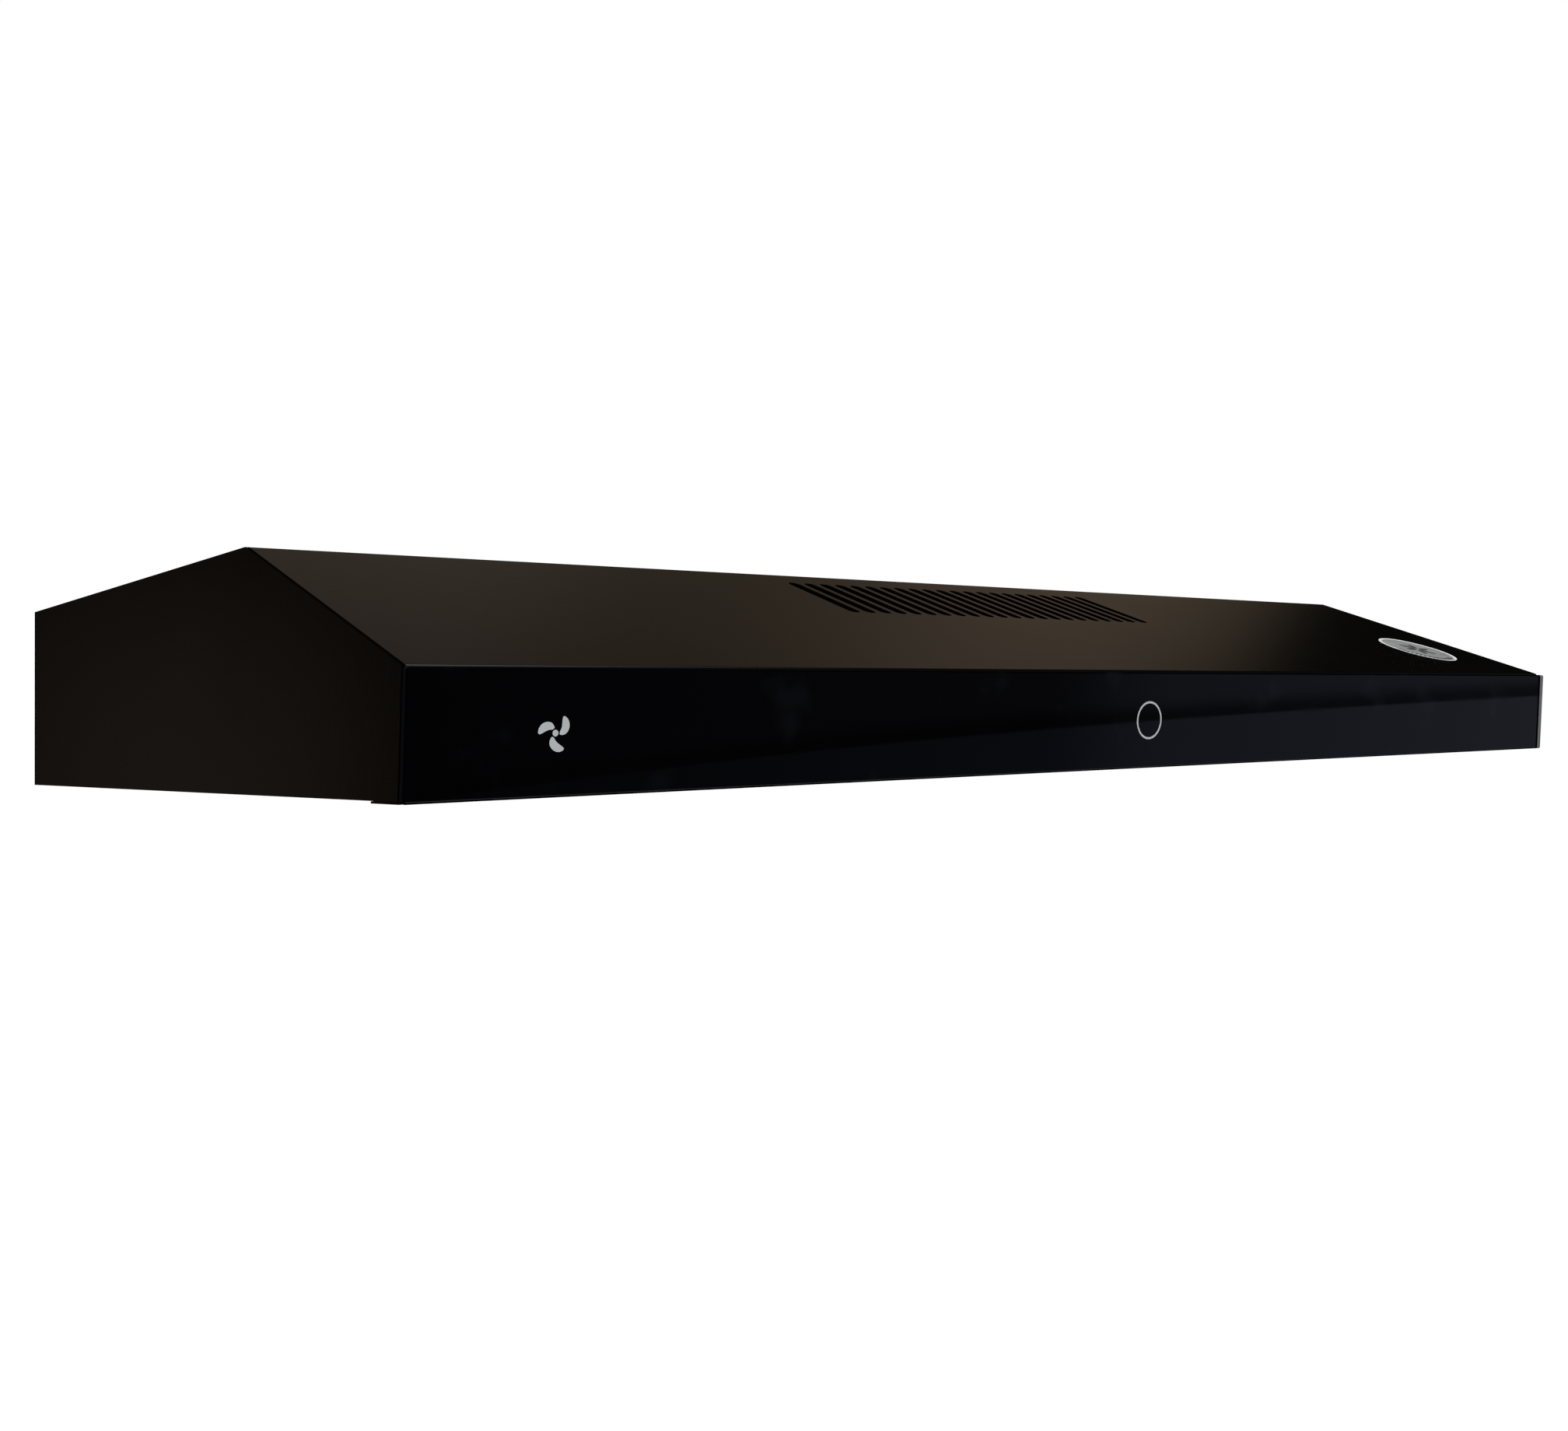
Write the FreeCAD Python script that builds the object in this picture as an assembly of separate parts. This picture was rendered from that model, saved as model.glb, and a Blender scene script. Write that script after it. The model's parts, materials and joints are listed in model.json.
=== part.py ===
import FreeCAD, Part
import math
import os

from FreeCAD import Placement, Rotation, Vector

# Under cabinet range hood, in millimetres.
# +X is to the user's right, -Y is the front and +Z is up.
# The origin is in the middle of the footprint, level with the hood's lower edge.

X = Vector(1, 0, 0)
Y = Vector(0, 1, 0)
Z = Vector(0, 0, 1)

# the cabinet
WIDTH = 760.0
DEPTH = 510.0
HEIGHT = 102.0
SHEET = 0.8
BEND = 0.9  # inner radius of a fold
SEAM = 0.3  # gap between an end panel and the shell
SNUG = 0.05  # gap between sheets that lie on each other
RIDGE_Y = -101.5  # where the slope meets the top
SLOPE_FOOT_Z = 46.5
LIP_Y = -222.0  # rear edge of the shell's bottom lip
PANEL_BOTTOM = 1.0
PANEL_FLANGE = 12.0
FOOT_FLANGE = 20.0

# the glass fascia, which leans forward at its top
GLASS = 4.0
GLASS_HEIGHT = 45.8
GLASS_EDGE = 1.0  # radius of its ground edges
LEAN = math.atan(4.4 / 46.0)
TAPE = 0.5

# vent slots in the slope
SLOT_COUNT = 22
SLOT_PITCH = 10.2
SLOT_WIDTH = 6.6
SLOT_START = 90.3  # along the slope from its foot
SLOT_END = 144.5

# holes in the top
KEYHOLE_X = 300.0
KEYHOLE_Y = (-60.0, 200.0)
KEYHOLE_RADIUS = 6.0
KEYHOLE_SLOT = 6.0
KEYHOLE_LENGTH = 13.0
CABLE_X = 260.0
CABLE_Y = 205.0
CABLE_OPENING = 20.0

# duct collar and damper
DUCT_Y = 150.0
DUCT_RADIUS = 75.0
DUCT_OPENING = 82.0
DUCT_FLANGE = 88.0
DUCT_TOP = 122.0
FLAP_Z = 107.0
FLAP_RADIUS = 73.2
FLAP_SHEET = 0.8
ROD_RADIUS = 1.5

# bottom pan
PAN_X = 359.7
PAN_FRONT = -221.7
PAN_REAR = 239.7
DECK_Z = 12.0
BAY_X = (12.0, 346.0)
BAY_Y = (-160.0, 180.0)
LAMP_X = 235.0
LAMP_Y = -191.0
LAMP_HOLE = 22.0

# filters
FILTER_GAP = 2.0
FILTER_Z = (8.0, 17.0)
FILTER_RAIL = 10.0
TONGUE_Z = (13.2, 14.2)
MESH_LAYERS = 5
MESH_SHEET = 0.25
LATCH_X = 20.0
LATCH_REAR = -128.0
LATCH_SHORT = 0.4  # the latch tongue ends this far from the pan

# blower
BOX_X = 170.0
BOX_Y = (-185.0, 245.0)
BOX_FLOOR = 40.0
FAN_Y = 10.0
INLET_RADIUS = 58.0
WHEEL_RADIUS = 78.0
WHEEL_EYE = 62.0
WHEEL_Z = (47.0, 88.0)
BLADE_COUNT = 36
SCROLL_RADIUS = 92.0
SCROLL_GROWTH = 10.0
SCROLL_TOP = 96.0
MOTOR_RADIUS = 40.0
SHAFT_RADIUS = 4.0
MOTOR_PLUG = 8.0
MOTOR_LEAD_Z = 94.5  # height of the motor's lead through the blower box

# vent door
DOOR_Y = -178.0
DOOR_Z = 64.0
DOOR_LENGTH = 68.0
DOOR_DROP = math.radians(17.0)
DOOR_X = 168.0

# electrical parts: x, x, y, y and the open side's height of the two boxes
CONTROL = (210.0, 320.0, -60.0, 30.0, 62.0)
WIRING = (215.0, 305.0, 165.0, 245.0, 62.0)
CAPACITOR = (215.0, 262.0, 95.0, 84.0, 14.0)  # x, x, y, z and radius
PLUG = 4.5


def box(x0, x1, y0, y1, z0, z1):
    return Part.makeBox(x1 - x0, y1 - y0, z1 - z0, Vector(x0, y0, z0))


def upright(x, y, z0, z1, radius):
    return Part.makeCylinder(radius, z1 - z0, Vector(x, y, z0))


def crosswise(x0, x1, y, z, radius):
    return Part.makeCylinder(radius, x1 - x0, Vector(x0, y, z), X)


def ring(x, y, z0, z1, outer, inner):
    return upright(x, y, z0, z1, outer).cut(upright(x, y, z0, z1, inner))


def fused(shapes):
    first, *rest = shapes
    return first.fuse(rest).removeSplitter()


def placed(shape, placement):
    moved = shape.copy()
    moved.Placement = placement.multiply(moved.Placement)
    return moved


def mirrored(shape):
    return shape.mirror(Vector(0, 0, 0), X)


def both_sides(shape):
    return [shape, mirrored(shape)]


def side(y, z):
    return Vector(0, y, z)


def outline(corners, radii):
    """A flat face from a closed run of corners, each rounded to its own radius."""
    ends = []
    arcs = []
    for index, corner in enumerate(corners):
        radius = radii[index]
        before = (corners[index - 1] - corner).normalize()
        after = (corners[(index + 1) % len(corners)] - corner).normalize()
        if radius == 0:
            ends.append((corner, corner))
            arcs.append(None)
            continue
        half = before.getAngle(after) / 2
        start = corner + before * (radius / math.tan(half))
        finish = corner + after * (radius / math.tan(half))
        middle = corner + (before + after).normalize() * (radius / math.sin(half) - radius)
        ends.append((start, finish))
        arcs.append(Part.Arc(start, middle, finish).toShape())
    edges = []
    for index in range(len(corners)):
        if arcs[index]:
            edges.append(arcs[index])
        following = (index + 1) % len(corners)
        edges.append(Part.LineSegment(ends[index][1], ends[following][0]).toShape())
    return Part.Face(Part.Wire(edges))


def polygon(corners):
    return outline(corners, [0] * len(corners))


def shifted(path, distance):
    """An open path in the side view moved to its left, with its corners kept sharp."""
    moved = []
    for index, point in enumerate(path):
        before = point - path[index - 1] if index else path[1] - point
        after = path[index + 1] - point if index < len(path) - 1 else before
        lefts = [side(-leg.z, leg.y).normalize() for leg in (before, after)]
        bisector = lefts[0] + lefts[1]
        moved.append(point + bisector * (2 * distance / bisector.dot(bisector)))
    return moved


def folded(path):
    """The section of a sheet whose outer face follows the path and always turns left."""
    inner = shifted(path, SHEET)
    folds = len(path) - 2
    radii = [0] + [BEND + SHEET] * folds + [0, 0] + [BEND] * folds + [0]
    return outline(path + inner[::-1], radii)


def across(face, x0, x1):
    solid = face.extrude(Vector(x1 - x0, 0, 0))
    solid.translate(Vector(x0, 0, 0))
    return solid


def turned(points, x, y):
    """A solid of revolution about a vertical axis from (radius, z) points."""
    corners = [Vector(radius, 0, z) for radius, z in points]
    solid = polygon(corners).revolve(Vector(0, 0, 0), Z, 360)
    solid.translate(Vector(x, y, 0))
    return solid


# The fascia's own frame: y runs back from the glass's front face and z up along it.
FASCIA_FOOT_Y = (
    -DEPTH / 2
    + GLASS_EDGE * (1 - math.cos(LEAN))
    + (GLASS_HEIGHT - GLASS_EDGE) * math.sin(LEAN)
)
ON_FASCIA = Placement(Vector(0, FASCIA_FOOT_Y, 0), Rotation(X, math.degrees(LEAN)))


def fascia_y(back, z):
    """Where the plane that lies this far behind the glass's front face is at a height."""
    return FASCIA_FOOT_Y + back / math.cos(LEAN) - z * math.tan(LEAN)


FLANGE_BACK = GLASS + TAPE
SLOPE_FOOT_Y = fascia_y(FLANGE_BACK, SLOPE_FOOT_Z)
SLOPE = math.atan2(HEIGHT - SLOPE_FOOT_Z, RIDGE_Y - SLOPE_FOOT_Y)
ON_SLOPE = Placement(Vector(0, SLOPE_FOOT_Y, SLOPE_FOOT_Z), Rotation(X, math.degrees(SLOPE)))
TOP_UNDER = HEIGHT - SHEET


def slope_under(y):
    """The height of the slope's underside."""
    return SLOPE_FOOT_Z + (y - SLOPE_FOOT_Y) * math.tan(SLOPE) - SHEET / math.cos(SLOPE)


def screw(x, y, z, up, length, shank, head):
    """A pan head screw under or over a joint, with its shank pointing up or down."""
    depth = head * 0.6
    top = turned(((0, 0), (head, 0), (head, depth * 0.5), (head * 0.7, depth), (0, depth)), 0, 0)
    recess = head * 0.9
    slot = head * 0.12
    cross = [
        box(-recess / 2, recess / 2, -slot, slot, depth * 0.5, depth + 1),
        box(-slot, slot, -recess / 2, recess / 2, depth * 0.5, depth + 1),
    ]
    whole = top.cut(cross).fuse(upright(0, 0, -length, 0, shank)).removeSplitter()
    if up:
        whole.rotate(Vector(0, 0, 0), X, 180)
    whole.translate(Vector(x, y, z))
    return whole


def export(nodes):
    os.makedirs("parts", exist_ok=True)
    for name, shape in nodes.items():
        shape.exportStep("parts/" + name + ".step")


# ---- cabinet ----

SHELL_PATH = [
    side(DEPTH / 2, HEIGHT),
    side(RIDGE_Y, HEIGHT),
    side(SLOPE_FOOT_Y, SLOPE_FOOT_Z),
    side(fascia_y(FLANGE_BACK, 0), 0),
    side(LIP_Y, 0),
]
SHELL_X = WIDTH / 2 - SHEET - SEAM
PLATE_UNDER = TOP_UNDER - SHEET
COLLAR_SCREWS = [
    (math.cos(math.radians(angle)) * 85, DUCT_Y + math.sin(math.radians(angle)) * 85)
    for angle in (45, 135, 225, 315)
]
BOX_FLANGE = 12.0
BOX_SCREWS = [(sign * (BOX_X + 6), y) for sign in (-1, 1) for y in (-60.0, 75.0, 215.0)]
SMALL_SHANK = 1.5
SHEET_HOLE = 1.6
SENSOR_X = 45.0
SENSOR_Z = (8.0, 38.0)
SENSOR_SCREW_X = 48.5


def vent_slots():
    slots = []
    rounding = SLOT_WIDTH / 2
    for index in range(SLOT_COUNT):
        x = (index - (SLOT_COUNT - 1) / 2) * SLOT_PITCH
        run = box(x - rounding, x + rounding, SLOT_START + rounding, SLOT_END - rounding, -4, 4)
        ends = [upright(x, y, -4, 4, rounding) for y in (SLOT_START + rounding, SLOT_END - rounding)]
        slots.append(placed(fused([run] + ends), ON_SLOPE))
    return slots


def keyhole(x, y):
    """A round hole with a narrow slot towards the front."""
    low, high = TOP_UNDER - 1, HEIGHT + 1
    narrow = KEYHOLE_SLOT / 2
    return fused([
        upright(x, y, low, high, KEYHOLE_RADIUS),
        box(x - narrow, x + narrow, y - KEYHOLE_LENGTH, y, low, high),
        upright(x, y - KEYHOLE_LENGTH, low, high, narrow),
    ])


def top_shell():
    shell = across(folded(SHELL_PATH), -SHELL_X, SHELL_X)
    low, high = TOP_UNDER - 1, HEIGHT + 1
    openings = vent_slots()
    openings += [keyhole(sign * KEYHOLE_X, y) for sign in (-1, 1) for y in KEYHOLE_Y]
    openings += [upright(x, y, low, high, SHEET_HOLE) for x, y in BOX_SCREWS]
    openings.append(upright(0, DUCT_Y, low, high, DUCT_OPENING))
    openings.append(upright(CABLE_X, CABLE_Y, low, high, CABLE_OPENING))
    window = box(-SENSOR_X, SENSOR_X, FLANGE_BACK - 1, FLANGE_BACK + 3, *SENSOR_Z)
    openings.append(placed(window, ON_FASCIA))
    for x, z in sensor_screws():
        hole = Part.makeCylinder(SHEET_HOLE, 4, Vector(x, FLANGE_BACK - 1, z), Y)
        openings.append(placed(hole, ON_FASCIA))
    return shell.cut(openings)


def left_end_panel():
    corners = [side(DEPTH / 2, PANEL_BOTTOM)] + SHELL_PATH[:3]
    corners.append(side(fascia_y(FLANGE_BACK, PANEL_BOTTOM), PANEL_BOTTOM))
    edge = BEND + SHEET
    skin = across(outline(corners, [0, 0, edge, edge, 0]), -WIDTH / 2, -WIDTH / 2 + SHEET)
    flange_corners = corners[:-1] + [side(fascia_y(FLANGE_BACK, 4), 4)]
    flange_path = shifted(flange_corners, SHEET + SNUG)
    flange = across(folded(flange_path), -WIDTH / 2, -WIDTH / 2 + PANEL_FLANGE)
    inner = -WIDTH / 2 + FOOT_FLANGE
    front = fascia_y(FLANGE_BACK, PANEL_BOTTOM) + 3
    foot = box(-WIDTH / 2, inner, front, DEPTH / 2 - 1, PANEL_BOTTOM, PANEL_BOTTOM + SHEET)
    return fused([skin, flange, foot])


def back_panel():
    rear = DEPTH / 2
    inner = rear - SHEET
    top = TOP_UNDER - SNUG
    reach = WIDTH / 2 - PANEL_FLANGE - 1
    return fused([
        box(-SHELL_X, SHELL_X, inner, rear, PANEL_BOTTOM, top),
        box(-reach, reach, rear - 9, rear, top - SHEET, top),
        box(-PAN_X, PAN_X, rear - 15, rear, PANEL_BOTTOM, PANEL_BOTTOM + SHEET),
    ])


ANGLE_X = (WIDTH / 2 - SHEET, WIDTH / 2 - 31)
PAN_SCREWS = [(sign * 353.5, y) for sign in (-1, 1) for y in (-190.0, 10.0, 210.0)]


def pan_support_angles():
    """Two angles on the end panels' inner faces that the bottom pan is screwed up to."""
    outer, inner = ANGLE_X
    low = DECK_Z + SHEET
    upright_leg = box(-outer, -outer + 1.2, -200, 230, low, low + 26)
    level_leg = box(-outer, -inner, -200, 230, low, low + 1.2)
    holes = [upright(x, y, low - 1, low + 3, SHEET_HOLE) for x, y in PAN_SCREWS if x < 0]
    angle = fused([upright_leg, level_leg]).cut(holes)
    return Part.makeCompound(both_sides(angle))


def bottom_pan():
    low = PANEL_BOTTOM
    top = DECK_Z + SHEET
    pan = box(-PAN_X, PAN_X, PAN_FRONT, PAN_REAR, low, top)
    hollow = box(-PAN_X + SHEET, PAN_X - SHEET, PAN_FRONT + SHEET, PAN_REAR - SHEET, low - 1, DECK_Z)
    folds = [e for e in pan.Edges if e.BoundBox.ZMin > top - 0.01]
    pan = pan.makeFillet(BEND + SHEET, folds)
    openings = [hollow]
    for sign in (-1, 1):
        x0, x1 = sorted(sign * x for x in BAY_X)
        openings.append(box(x0, x1, *BAY_Y, 0, 20))
        openings.append(upright(sign * LAMP_X, LAMP_Y, 0, 20, LAMP_HOLE))
    openings += [upright(x, y, 5, 20, SHEET_HOLE) for x, y in PAN_SCREWS]
    return pan.cut(openings)


def pan_screws():
    return [screw(x, y, DECK_Z, True, 6, SMALL_SHANK, 3.2) for x, y in PAN_SCREWS]


# ---- glass fascia and touch control ----

def sensor_screws():
    return [(sign * SENSOR_SCREW_X, 23.0) for sign in (-1, 1)]


def glass_front():
    pane = box(-WIDTH / 2, WIDTH / 2, 0, GLASS, 0, GLASS_HEIGHT)
    return placed(pane.makeFillet(GLASS_EDGE, pane.Edges), ON_FASCIA)


def glass_tape():
    """Two strips of bonding tape between the glass and the shell's front flange."""
    reach = SHELL_X - 3
    strips = [box(-reach, reach, GLASS, FLANGE_BACK, z, z + 6) for z in (1.5, 38.5)]
    return Part.makeCompound([placed(strip, ON_FASCIA) for strip in strips])


SENSOR_PLATE = FLANGE_BACK + SHEET
BOARD_BACK = SENSOR_PLATE + 1.6


def touch_holder():
    """A tray whose nose reaches through the flange's window to the glass."""
    plate = box(-53, 53, SENSOR_PLATE, SENSOR_PLATE + 5, 5, 41)
    nose = box(-42, 42, GLASS + 0.05, SENSOR_PLATE, 10, 36)
    pocket = box(-40, 40, BOARD_BACK, SENSOR_PLATE + 6, 11, 35)
    relief = [box(sign * 48.5 - 4.5, sign * 48.5 + 4.5, BOARD_BACK, 20, 4, 42) for sign in (-1, 1)]
    holes = [Part.makeCylinder(SHEET_HOLE, 20, Vector(x, 0, z), Y) for x, z in sensor_screws()]
    return placed(fused([plate, nose]).cut([pocket] + relief + holes), ON_FASCIA)


def touch_board():
    """The circuit board with its sensing pad, a chip and a plug."""
    board = box(-38, 38, BOARD_BACK, BOARD_BACK + 1.6, 12, 34)
    back = BOARD_BACK + 1.6
    chip = box(-5, 5, back, back + 1.4, 18, 28)
    plug = box(20, 32, back, back + 5, 19, 27)
    return placed(fused([board, chip, plug]), ON_FASCIA)


def touch_screws():
    screws = []
    for x, z in sensor_screws():
        one = screw(0, 0, 0, False, 2.6, SMALL_SHANK, 2.6)
        one.rotate(Vector(0, 0, 0), X, -90)
        one.translate(Vector(x, BOARD_BACK, z))
        screws.append(placed(one, ON_FASCIA))
    return screws


# ---- filters ----

FILTER_X = (BAY_X[0] + FILTER_GAP, BAY_X[1] - FILTER_GAP)
FILTER_Y = (BAY_Y[0] + FILTER_GAP, BAY_Y[1] - FILTER_GAP)
FILTER_MIDDLE = sum(FILTER_X) / 2


def latch_pocket(grow):
    """The space in a filter that its latch housing fills, grown by an amount."""
    return box(
        FILTER_MIDDLE - LATCH_X - grow, FILTER_MIDDLE + LATCH_X + grow,
        FILTER_Y[0] + SHEET, LATCH_REAR + grow,
        FILTER_Z[0] - 1, FILTER_Z[1] - SHEET,
    )


def filter_frame():
    (x0, x1), (y0, y1), (z0, z1) = FILTER_X, FILTER_Y, FILTER_Z
    wall = SHEET
    frame = box(x0, x1, y0, y1, z0, z1)
    frame = frame.makeFillet(1.5, [e for e in frame.Edges if e.BoundBox.ZLength > z1 - z0 - 0.01])
    channel = box(x0 + wall, x1 - wall, y0 + wall, y1 - wall, z0 + wall, z1 - wall)
    rail = FILTER_RAIL
    middle = box(x0 + rail, x1 - rail, y0 + rail, y1 - rail, z0 - 1, z1 + 1)
    throat = box(
        FILTER_MIDDLE - 10.5, FILTER_MIDDLE + 10.5, y0 - 1, y0 + 3,
        TONGUE_Z[0] - 0.3, TONGUE_Z[1] + 0.3,
    )
    frame = frame.cut([channel, middle, latch_pocket(0), throat])
    tongues = [
        box(x - 12, x + 12, y1 - 0.5, BAY_Y[1] + 6, *TONGUE_Z)
        for x in (FILTER_MIDDLE - 110, FILTER_MIDDLE + 110)
    ]
    return fused([frame] + tongues)


def filter_mesh():
    """Layers of thin expanded sheet, drawn as plain sheets."""
    (x0, x1), (y0, y1), (z0, z1) = FILTER_X, FILTER_Y, FILTER_Z
    inset = SHEET + 0.2
    spacing = (z1 - z0 - 2 * inset - MESH_SHEET) / (MESH_LAYERS - 1)
    layers = []
    for index in range(MESH_LAYERS):
        z = z0 + inset + spacing * index
        layer = box(x0 + inset, x1 - inset, y0 + inset, y1 - inset, z, z + MESH_SHEET)
        layers.append(layer.cut(latch_pocket(0.3)))
    return Part.makeCompound(layers)


def latch_housing():
    outer = box(
        FILTER_MIDDLE - LATCH_X, FILTER_MIDDLE + LATCH_X, FILTER_Y[0] + SHEET, LATCH_REAR,
        FILTER_Z[0] - 0.6, FILTER_Z[1] - SHEET,
    )
    front = FILTER_Y[0] + SHEET
    inner = box(
        FILTER_MIDDLE - LATCH_X + 1.2, FILTER_MIDDLE + LATCH_X - 1.2, front + 1.2, LATCH_REAR - 1.2,
        FILTER_Z[0] - 2, FILTER_Z[1] - SHEET - 1,
    )
    throat = box(
        FILTER_MIDDLE - 10.5, FILTER_MIDDLE + 10.5, front - 1, front + 3,
        TONGUE_Z[0] - 0.3, TONGUE_Z[1] + 0.3,
    )
    return outer.cut([inner, throat])


LATCH_TAB_Y = -140.0
SPRING_REAR = LATCH_REAR - 1.2


def latch():
    """The sliding latch: a flat tongue with a finger tab that hangs into the recess."""
    tip = BAY_Y[0] + LATCH_SHORT
    tongue = box(FILTER_MIDDLE - 10, FILTER_MIDDLE + 10, tip, LATCH_TAB_Y + 1.2, *TONGUE_Z)
    tab = box(FILTER_MIDDLE - 10, FILTER_MIDDLE + 10, LATCH_TAB_Y, LATCH_TAB_Y + 1.2, 4, TONGUE_Z[1])
    tab = tab.makeFillet(3, [e for e in tab.Edges if e.BoundBox.YLength > 1 and e.BoundBox.ZMax < 5])
    grip = crosswise(FILTER_MIDDLE - 7, FILTER_MIDDLE + 7, LATCH_TAB_Y, 6, 1)
    return fused([tongue, tab, grip])


def latch_spring():
    """A flat coil pack between the latch's tab and the housing's rear wall."""
    coils = []
    start = LATCH_TAB_Y + 1.3
    pitch = (SPRING_REAR - 0.1 - start) / 6
    for index in range(6):
        y = start + pitch * (index + 0.5)
        coils.append(Part.makeTorus(1.5, 0.4, Vector(FILTER_MIDDLE, y, 11), Y))
    return Part.makeCompound(coils)


# ---- blower ----

SCROLL_FLOOR = BOX_FLOOR + SHEET
DOOR_SHAFT_RADIUS = 2.0
SCROLL_SCREWS = [(-76.0, -67.0), (-69.0, 77.0), (83.0, -72.0)]


def blower_box():
    front, rear = BOX_Y
    top = TOP_UNDER - 0.1
    crest = SLOPE_FOOT_Y + (top + SHEET / math.cos(SLOPE) - SLOPE_FOOT_Z + 0.1) / math.tan(SLOPE)
    front_top = slope_under(front) - 0.1
    outer = polygon([
        side(front, BOX_FLOOR), side(rear, BOX_FLOOR), side(rear, top), side(crest, top),
        side(front, front_top),
    ])
    low = BOX_FLOOR + SHEET
    inner = polygon([
        side(front + SHEET, low), side(rear - SHEET, low), side(rear - SHEET, top + 30),
        side(front + SHEET, top + 30),
    ])
    chamber = across(outer, -BOX_X, BOX_X)
    flange = box(BOX_X - 0.5, BOX_X + BOX_FLANGE, crest + 2, rear, top - SHEET, top)
    openings = [across(inner, -BOX_X + SHEET, BOX_X - SHEET)]
    openings.append(upright(0, FAN_Y, BOX_FLOOR - 1, low + 1, INLET_RADIUS + 2.2))
    openings.append(crosswise(-BOX_X - 5, BOX_X + 5, DOOR_Y, DOOR_Z, DOOR_SHAFT_RADIUS + 0.05))
    openings += [upright(x, y, top - 5, top + 5, SHEET_HOLE) for x, y in BOX_SCREWS]
    openings += [upright(x, y, low - 5, low + 5, SHEET_HOLE) for x, y in SCROLL_SCREWS]
    openings.append(crosswise(BOX_X - 3, BOX_X + 3, FAN_Y, MOTOR_LEAD_Z, 2.4))
    return fused([chamber] + both_sides(flange)).cut(openings)


def box_screws():
    under = TOP_UNDER - 0.1 - SHEET
    return [screw(x, y, under, True, 1.6, SMALL_SHANK, 3.2) for x, y in BOX_SCREWS]


def inlet_ring():
    """A bellmouth under the box's floor whose lip stands up into the wheel's eye."""
    lip = INLET_RADIUS
    floor = BOX_FLOOR
    points = (
        (lip + 16, floor - 1), (lip + 16, floor), (lip + 2, floor), (lip + 2, floor + 9),
        (lip + 1, floor + 9), (lip + 1, floor + 1), (lip + 4, floor - 1),
    )
    return turned(points, 0, FAN_Y)


def inlet_guard():
    """Wire rings and spokes that keep fingers out of the wheel."""
    wire = 1.0
    level = BOX_FLOOR - 1 - wire
    hoops = [Part.makeTorus(radius, wire, Vector(0, FAN_Y, level)) for radius in (18, 34, 50, 66)]
    guard = hoops[0].fuse(hoops[1:])
    for index in range(6):
        spoke = Part.makeCylinder(0.8, 51, Vector(17, FAN_Y, level - 1.1), X)
        spoke.rotate(Vector(0, FAN_Y, 0), Z, 60 * index + 15)
        guard = guard.fuse(spoke)
    return guard


def scroll_path(extra):
    """The volute's outline from three quarter arcs about shifting centres, and its straight outlet."""
    step = SCROLL_GROWTH
    first = Vector(-step / 2, FAN_Y - step / 2, 0)
    second = first + Vector(step, 0, 0)
    third = second + Vector(0, step, 0)
    r1 = SCROLL_RADIUS + extra
    r2, r3 = r1 + step, r1 + 2 * step
    diagonal = math.sqrt(0.5)
    top = first + Vector(0, r1, 0)
    left = first + Vector(-r1, 0, 0)
    bottom = second + Vector(0, -r2, 0)
    right = third + Vector(r3, 0, 0)
    outlet = Vector(right.x, OUTLET_Y, 0)
    return [
        Part.Arc(top, first + Vector(-r1, r1, 0) * diagonal, left).toShape(),
        Part.Arc(left, second + Vector(-r2, -r2, 0) * diagonal, bottom).toShape(),
        Part.Arc(bottom, third + Vector(r3, -r3, 0) * diagonal, right).toShape(),
        Part.LineSegment(right, outlet).toShape(),
    ], top, outlet


OUTLET_Y = 112.0
TONGUE_X = 48.0


def scroll_area(extra):
    """The volute's inside, or its outside when grown by the wall's thickness."""
    edges, top, outlet = scroll_path(extra)
    tongue_x = TONGUE_X - extra
    inner_radius = SCROLL_RADIUS - SCROLL_GROWTH / 2 + extra
    centre = Vector(0, FAN_Y, 0)
    tongue_y = FAN_Y + math.sqrt(inner_radius ** 2 - tongue_x ** 2)
    tongue = Vector(tongue_x, tongue_y, 0)
    half = math.atan2(tongue_x, tongue_y - FAN_Y) / 2
    middle = centre + Vector(math.sin(half), math.cos(half), 0) * inner_radius
    corner = Vector(tongue_x, OUTLET_Y, 0)
    edges.append(Part.LineSegment(outlet, corner).toShape())
    edges.append(Part.LineSegment(corner, tongue).toShape())
    edges.append(Part.Arc(tongue, middle, top).toShape())
    return Part.Face(Part.Wire(edges))


def scroll_housing():
    """The volute's wall and floor in one moulding, open at its top and outlet."""
    outside = scroll_area(1.0).extrude(Vector(0, 0, SCROLL_TOP - 1 - SCROLL_FLOOR))
    inside = scroll_area(0.0).extrude(Vector(0, 0, SCROLL_TOP))
    inside.translate(Vector(0, 0, 1.2))
    shell = outside.cut(inside)
    shell.translate(Vector(0, 0, SCROLL_FLOOR))
    mouth = box(TONGUE_X, 117.0, OUTLET_Y - 3, OUTLET_Y + 3, SCROLL_FLOOR + 1.2, SCROLL_TOP)
    ears = [upright(x, y, SCROLL_FLOOR, SCROLL_FLOOR + 3, 7) for x, y in SCROLL_SCREWS]
    swept = scroll_area(0.5).extrude(Vector(0, 0, SCROLL_TOP))
    ears = [ear.cut(swept) for ear in ears]
    eye = upright(0, FAN_Y, 0, SCROLL_FLOOR + 5, INLET_RADIUS + 2.2)
    holes = [upright(x, y, 0, SCROLL_FLOOR + 5, SHEET_HOLE) for x, y in SCROLL_SCREWS]
    return fused([shell] + ears).cut([eye, mouth] + holes)


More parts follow.
